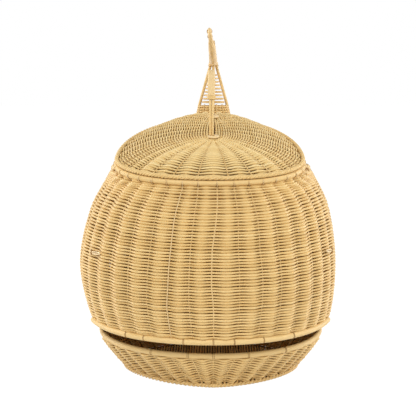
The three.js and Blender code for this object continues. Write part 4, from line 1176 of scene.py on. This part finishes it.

# Eyes: a long flat loop of cane with an upright bar on each side, and a dark strand inside the loop as
# painted shade.
EYE_SPREAD, EYE_LEVEL = 146.5, 169.0
EYE_LENGTH, EYE_HEIGHT, EYE_CANE, EYE_BAR, EYE_BAR_LOW, EYE_BAR_HIGH = 11, 1.3, 0.95, 1.15, -2.6, 3.6


def body_column(angle):
    return np.stack(body_point(np.linspace(0, 1, 300), np.full(300, angle)), -1)


def surface_at(angle, height):
    column = body_column(angle)
    return np.array([np.interp(height, column[:, 2], column[:, k]) for k in (0, 1)] + [height])


def eye_place(side):
    """A point on the body's surface, with its outward and upward directions."""
    angles = np.radians(np.linspace(1, 89, 400)) * side
    x = np.array([surface_at(angle, EYE_LEVEL)[0] for angle in angles])
    at = angles[np.argmin(np.abs(np.abs(x) - EYE_SPREAD))]
    rising = surface_at(at, EYE_LEVEL + 2) - surface_at(at, EYE_LEVEL - 2)
    out = np.cross(surface_at(at + 0.01, EYE_LEVEL) - surface_at(at - 0.01, EYE_LEVEL), rising)
    return surface_at(at, EYE_LEVEL), out / np.linalg.norm(out), rising / np.linalg.norm(rising)


for side, name in ((-1, "left"), (1, "right")):
    point, out, rising = eye_place(side)
    centre = point + out * 0.8
    backwards = -side * np.cross(out, rising)
    turns = np.linspace(0, 2 * np.pi, 48, endpoint=False)[:, None]
    loop = centre + backwards * EYE_LENGTH * np.cos(turns) + rising * EYE_HEIGHT * np.sin(turns)
    eye = [ring(loop, strand=90, thickness=1 + 0.25 * np.sin(3 * turns[:, 0]))]
    woven(f"eye_loop_{name}", eye, EYE_CANE, wrap_finish, [f"eye_ring_{name}"], "wrapped_rattan", sides=10)
    # Painted shade: a dark strand set inside the loop where its shade falls.
    painted_shade_strand = centre - out * 0.5 + backwards * np.linspace(-EYE_LENGTH + 1.4, EYE_LENGTH - 2.6, 8)[:, None]
    bar_at = centre + out * 0.7 + backwards * (EYE_LENGTH - 0.5)
    bar = bar_at + (rising + 0.25 * backwards) * np.linspace(EYE_BAR_LOW, EYE_BAR_HIGH, 8)[:, None]
    lines = [cane(bar, strand=92), cane(painted_shade_strand, strand=93)]
    woven(f"eye_stick_{name}", lines, EYE_BAR, dark_and_shade_finish, [f"eye_bar_{name}"], "dark_rattan", sides=10)


# Floor, backdrop, light and camera.
def seen_directly(tree):
    """1 for a ray from the camera, from a glossy surface or through a clear one, and 0 for others."""
    path = node(tree, "ShaderNodeLightPath").outputs
    seen = maths(tree, "MAXIMUM", path["Is Camera Ray"], path["Is Glossy Ray"])
    return maths(tree, "MAXIMUM", seen, path["Is Transmission Ray"])


floor_mesh = bpy.data.meshes.new("floor")
floor_mesh.from_pydata([(-9, -6, 0), (9, -6, 0), (9, 12, 0), (-9, 12, 0)], [], [(0, 1, 2, 3)])
floor = bpy.data.objects.new("floor", floor_mesh)
bpy.context.scene.collection.objects.link(floor)
FLOOR_GLOW, FLOOR_GLOW_SHARE, SKY_LIGHT = 1.22, 0.75, 0.46
ground = bpy.data.materials.new("Pale floor")
ground.use_nodes = True
tree = ground.node_tree
shader = tree.nodes["Principled BSDF"]
feed(tree, shader.inputs["Base Color"], (0.9, 0.9, 0.9, 1))
feed(tree, shader.inputs["Roughness"], 0.9)
plain = shader.outputs[0]
white = node(tree, "ShaderNodeEmission", {"Color": (1, 1, 1, 1), "Strength": FLOOR_GLOW}).outputs[0]
mixed = node(tree, "ShaderNodeMixShader", {"Fac": FLOOR_GLOW_SHARE, 1: plain, 2: white}).outputs[0]
chosen = node(tree, "ShaderNodeMixShader", {"Fac": seen_directly(tree), 1: plain, 2: mixed}).outputs[0]
feed(tree, tree.nodes["Material Output"].inputs["Surface"], chosen)
floor_mesh.materials.append(ground)

world = bpy.data.worlds.new("Soft studio")
bpy.context.scene.world = world
world.use_nodes = True
tree = world.node_tree
sky = tree.nodes["Background"]
limits = {"Value": seen_directly(tree), "To Min": SKY_LIGHT, "To Max": 1.0}
strength = node(tree, "ShaderNodeMapRange", limits)
feed(tree, sky.inputs["Color"], (1, 1, 1, 1))
feed(tree, sky.inputs["Strength"], strength.outputs[0])
LAMP_AIM = Vector((0, 0, 0.2))


def softbox(name, place, size, power, colour=(1, 1, 1)):
    """A soft lamp that shines on the middle of the basket."""
    lamp = bpy.data.lights.new(name, "AREA")
    lamp.shape = "RECTANGLE"
    lamp.size, lamp.size_y = size
    lamp.energy = power
    lamp.color = colour
    made = bpy.data.objects.new(name, lamp)
    made.location = place
    made.rotation_euler = (LAMP_AIM - Vector(place)).to_track_quat("-Z", "Y").to_euler()
    bpy.context.scene.collection.objects.link(made)


softbox("key_light", (-0.7, -1.6, 1.5), (1.2, 1.0), 19)
softbox("fill_light", (1.3, -1.1, 0.8), (0.9, 0.9), 7)
softbox("left_edge_light", (-1.4, 0.5, 0.6), (0.5, 1.0), 10, (1, 0.96, 0.95))
softbox("right_edge_light", (1.4, 0.5, 0.6), (0.5, 1.0), 10, (1, 0.96, 0.95))

# The camera, matched to the photograph: lengths in pixels of the picture, then millimetres and metres.
PICTURE, FOCUS, SHIFT = 416, 1203, -5.3
SENSOR, DISTANCE, AIM_HEIGHT = 36, 1.6, 0.215
lens = bpy.data.cameras.new("camera")
lens.sensor_width = SENSOR
lens.lens = FOCUS / PICTURE * SENSOR
lens.shift_x = SHIFT / PICTURE
lens.clip_start, lens.clip_end = 0.05, 50
camera = bpy.data.objects.new("camera", lens)
pitch = math.radians(6.5)
camera.location = (0, -DISTANCE * math.cos(pitch), AIM_HEIGHT + DISTANCE * math.sin(pitch))
camera.rotation_euler = (math.pi / 2 - pitch, 0, 0)
bpy.context.scene.collection.objects.link(camera)
bpy.context.scene.camera = camera
bpy.context.scene.view_settings.view_transform = "Standard"
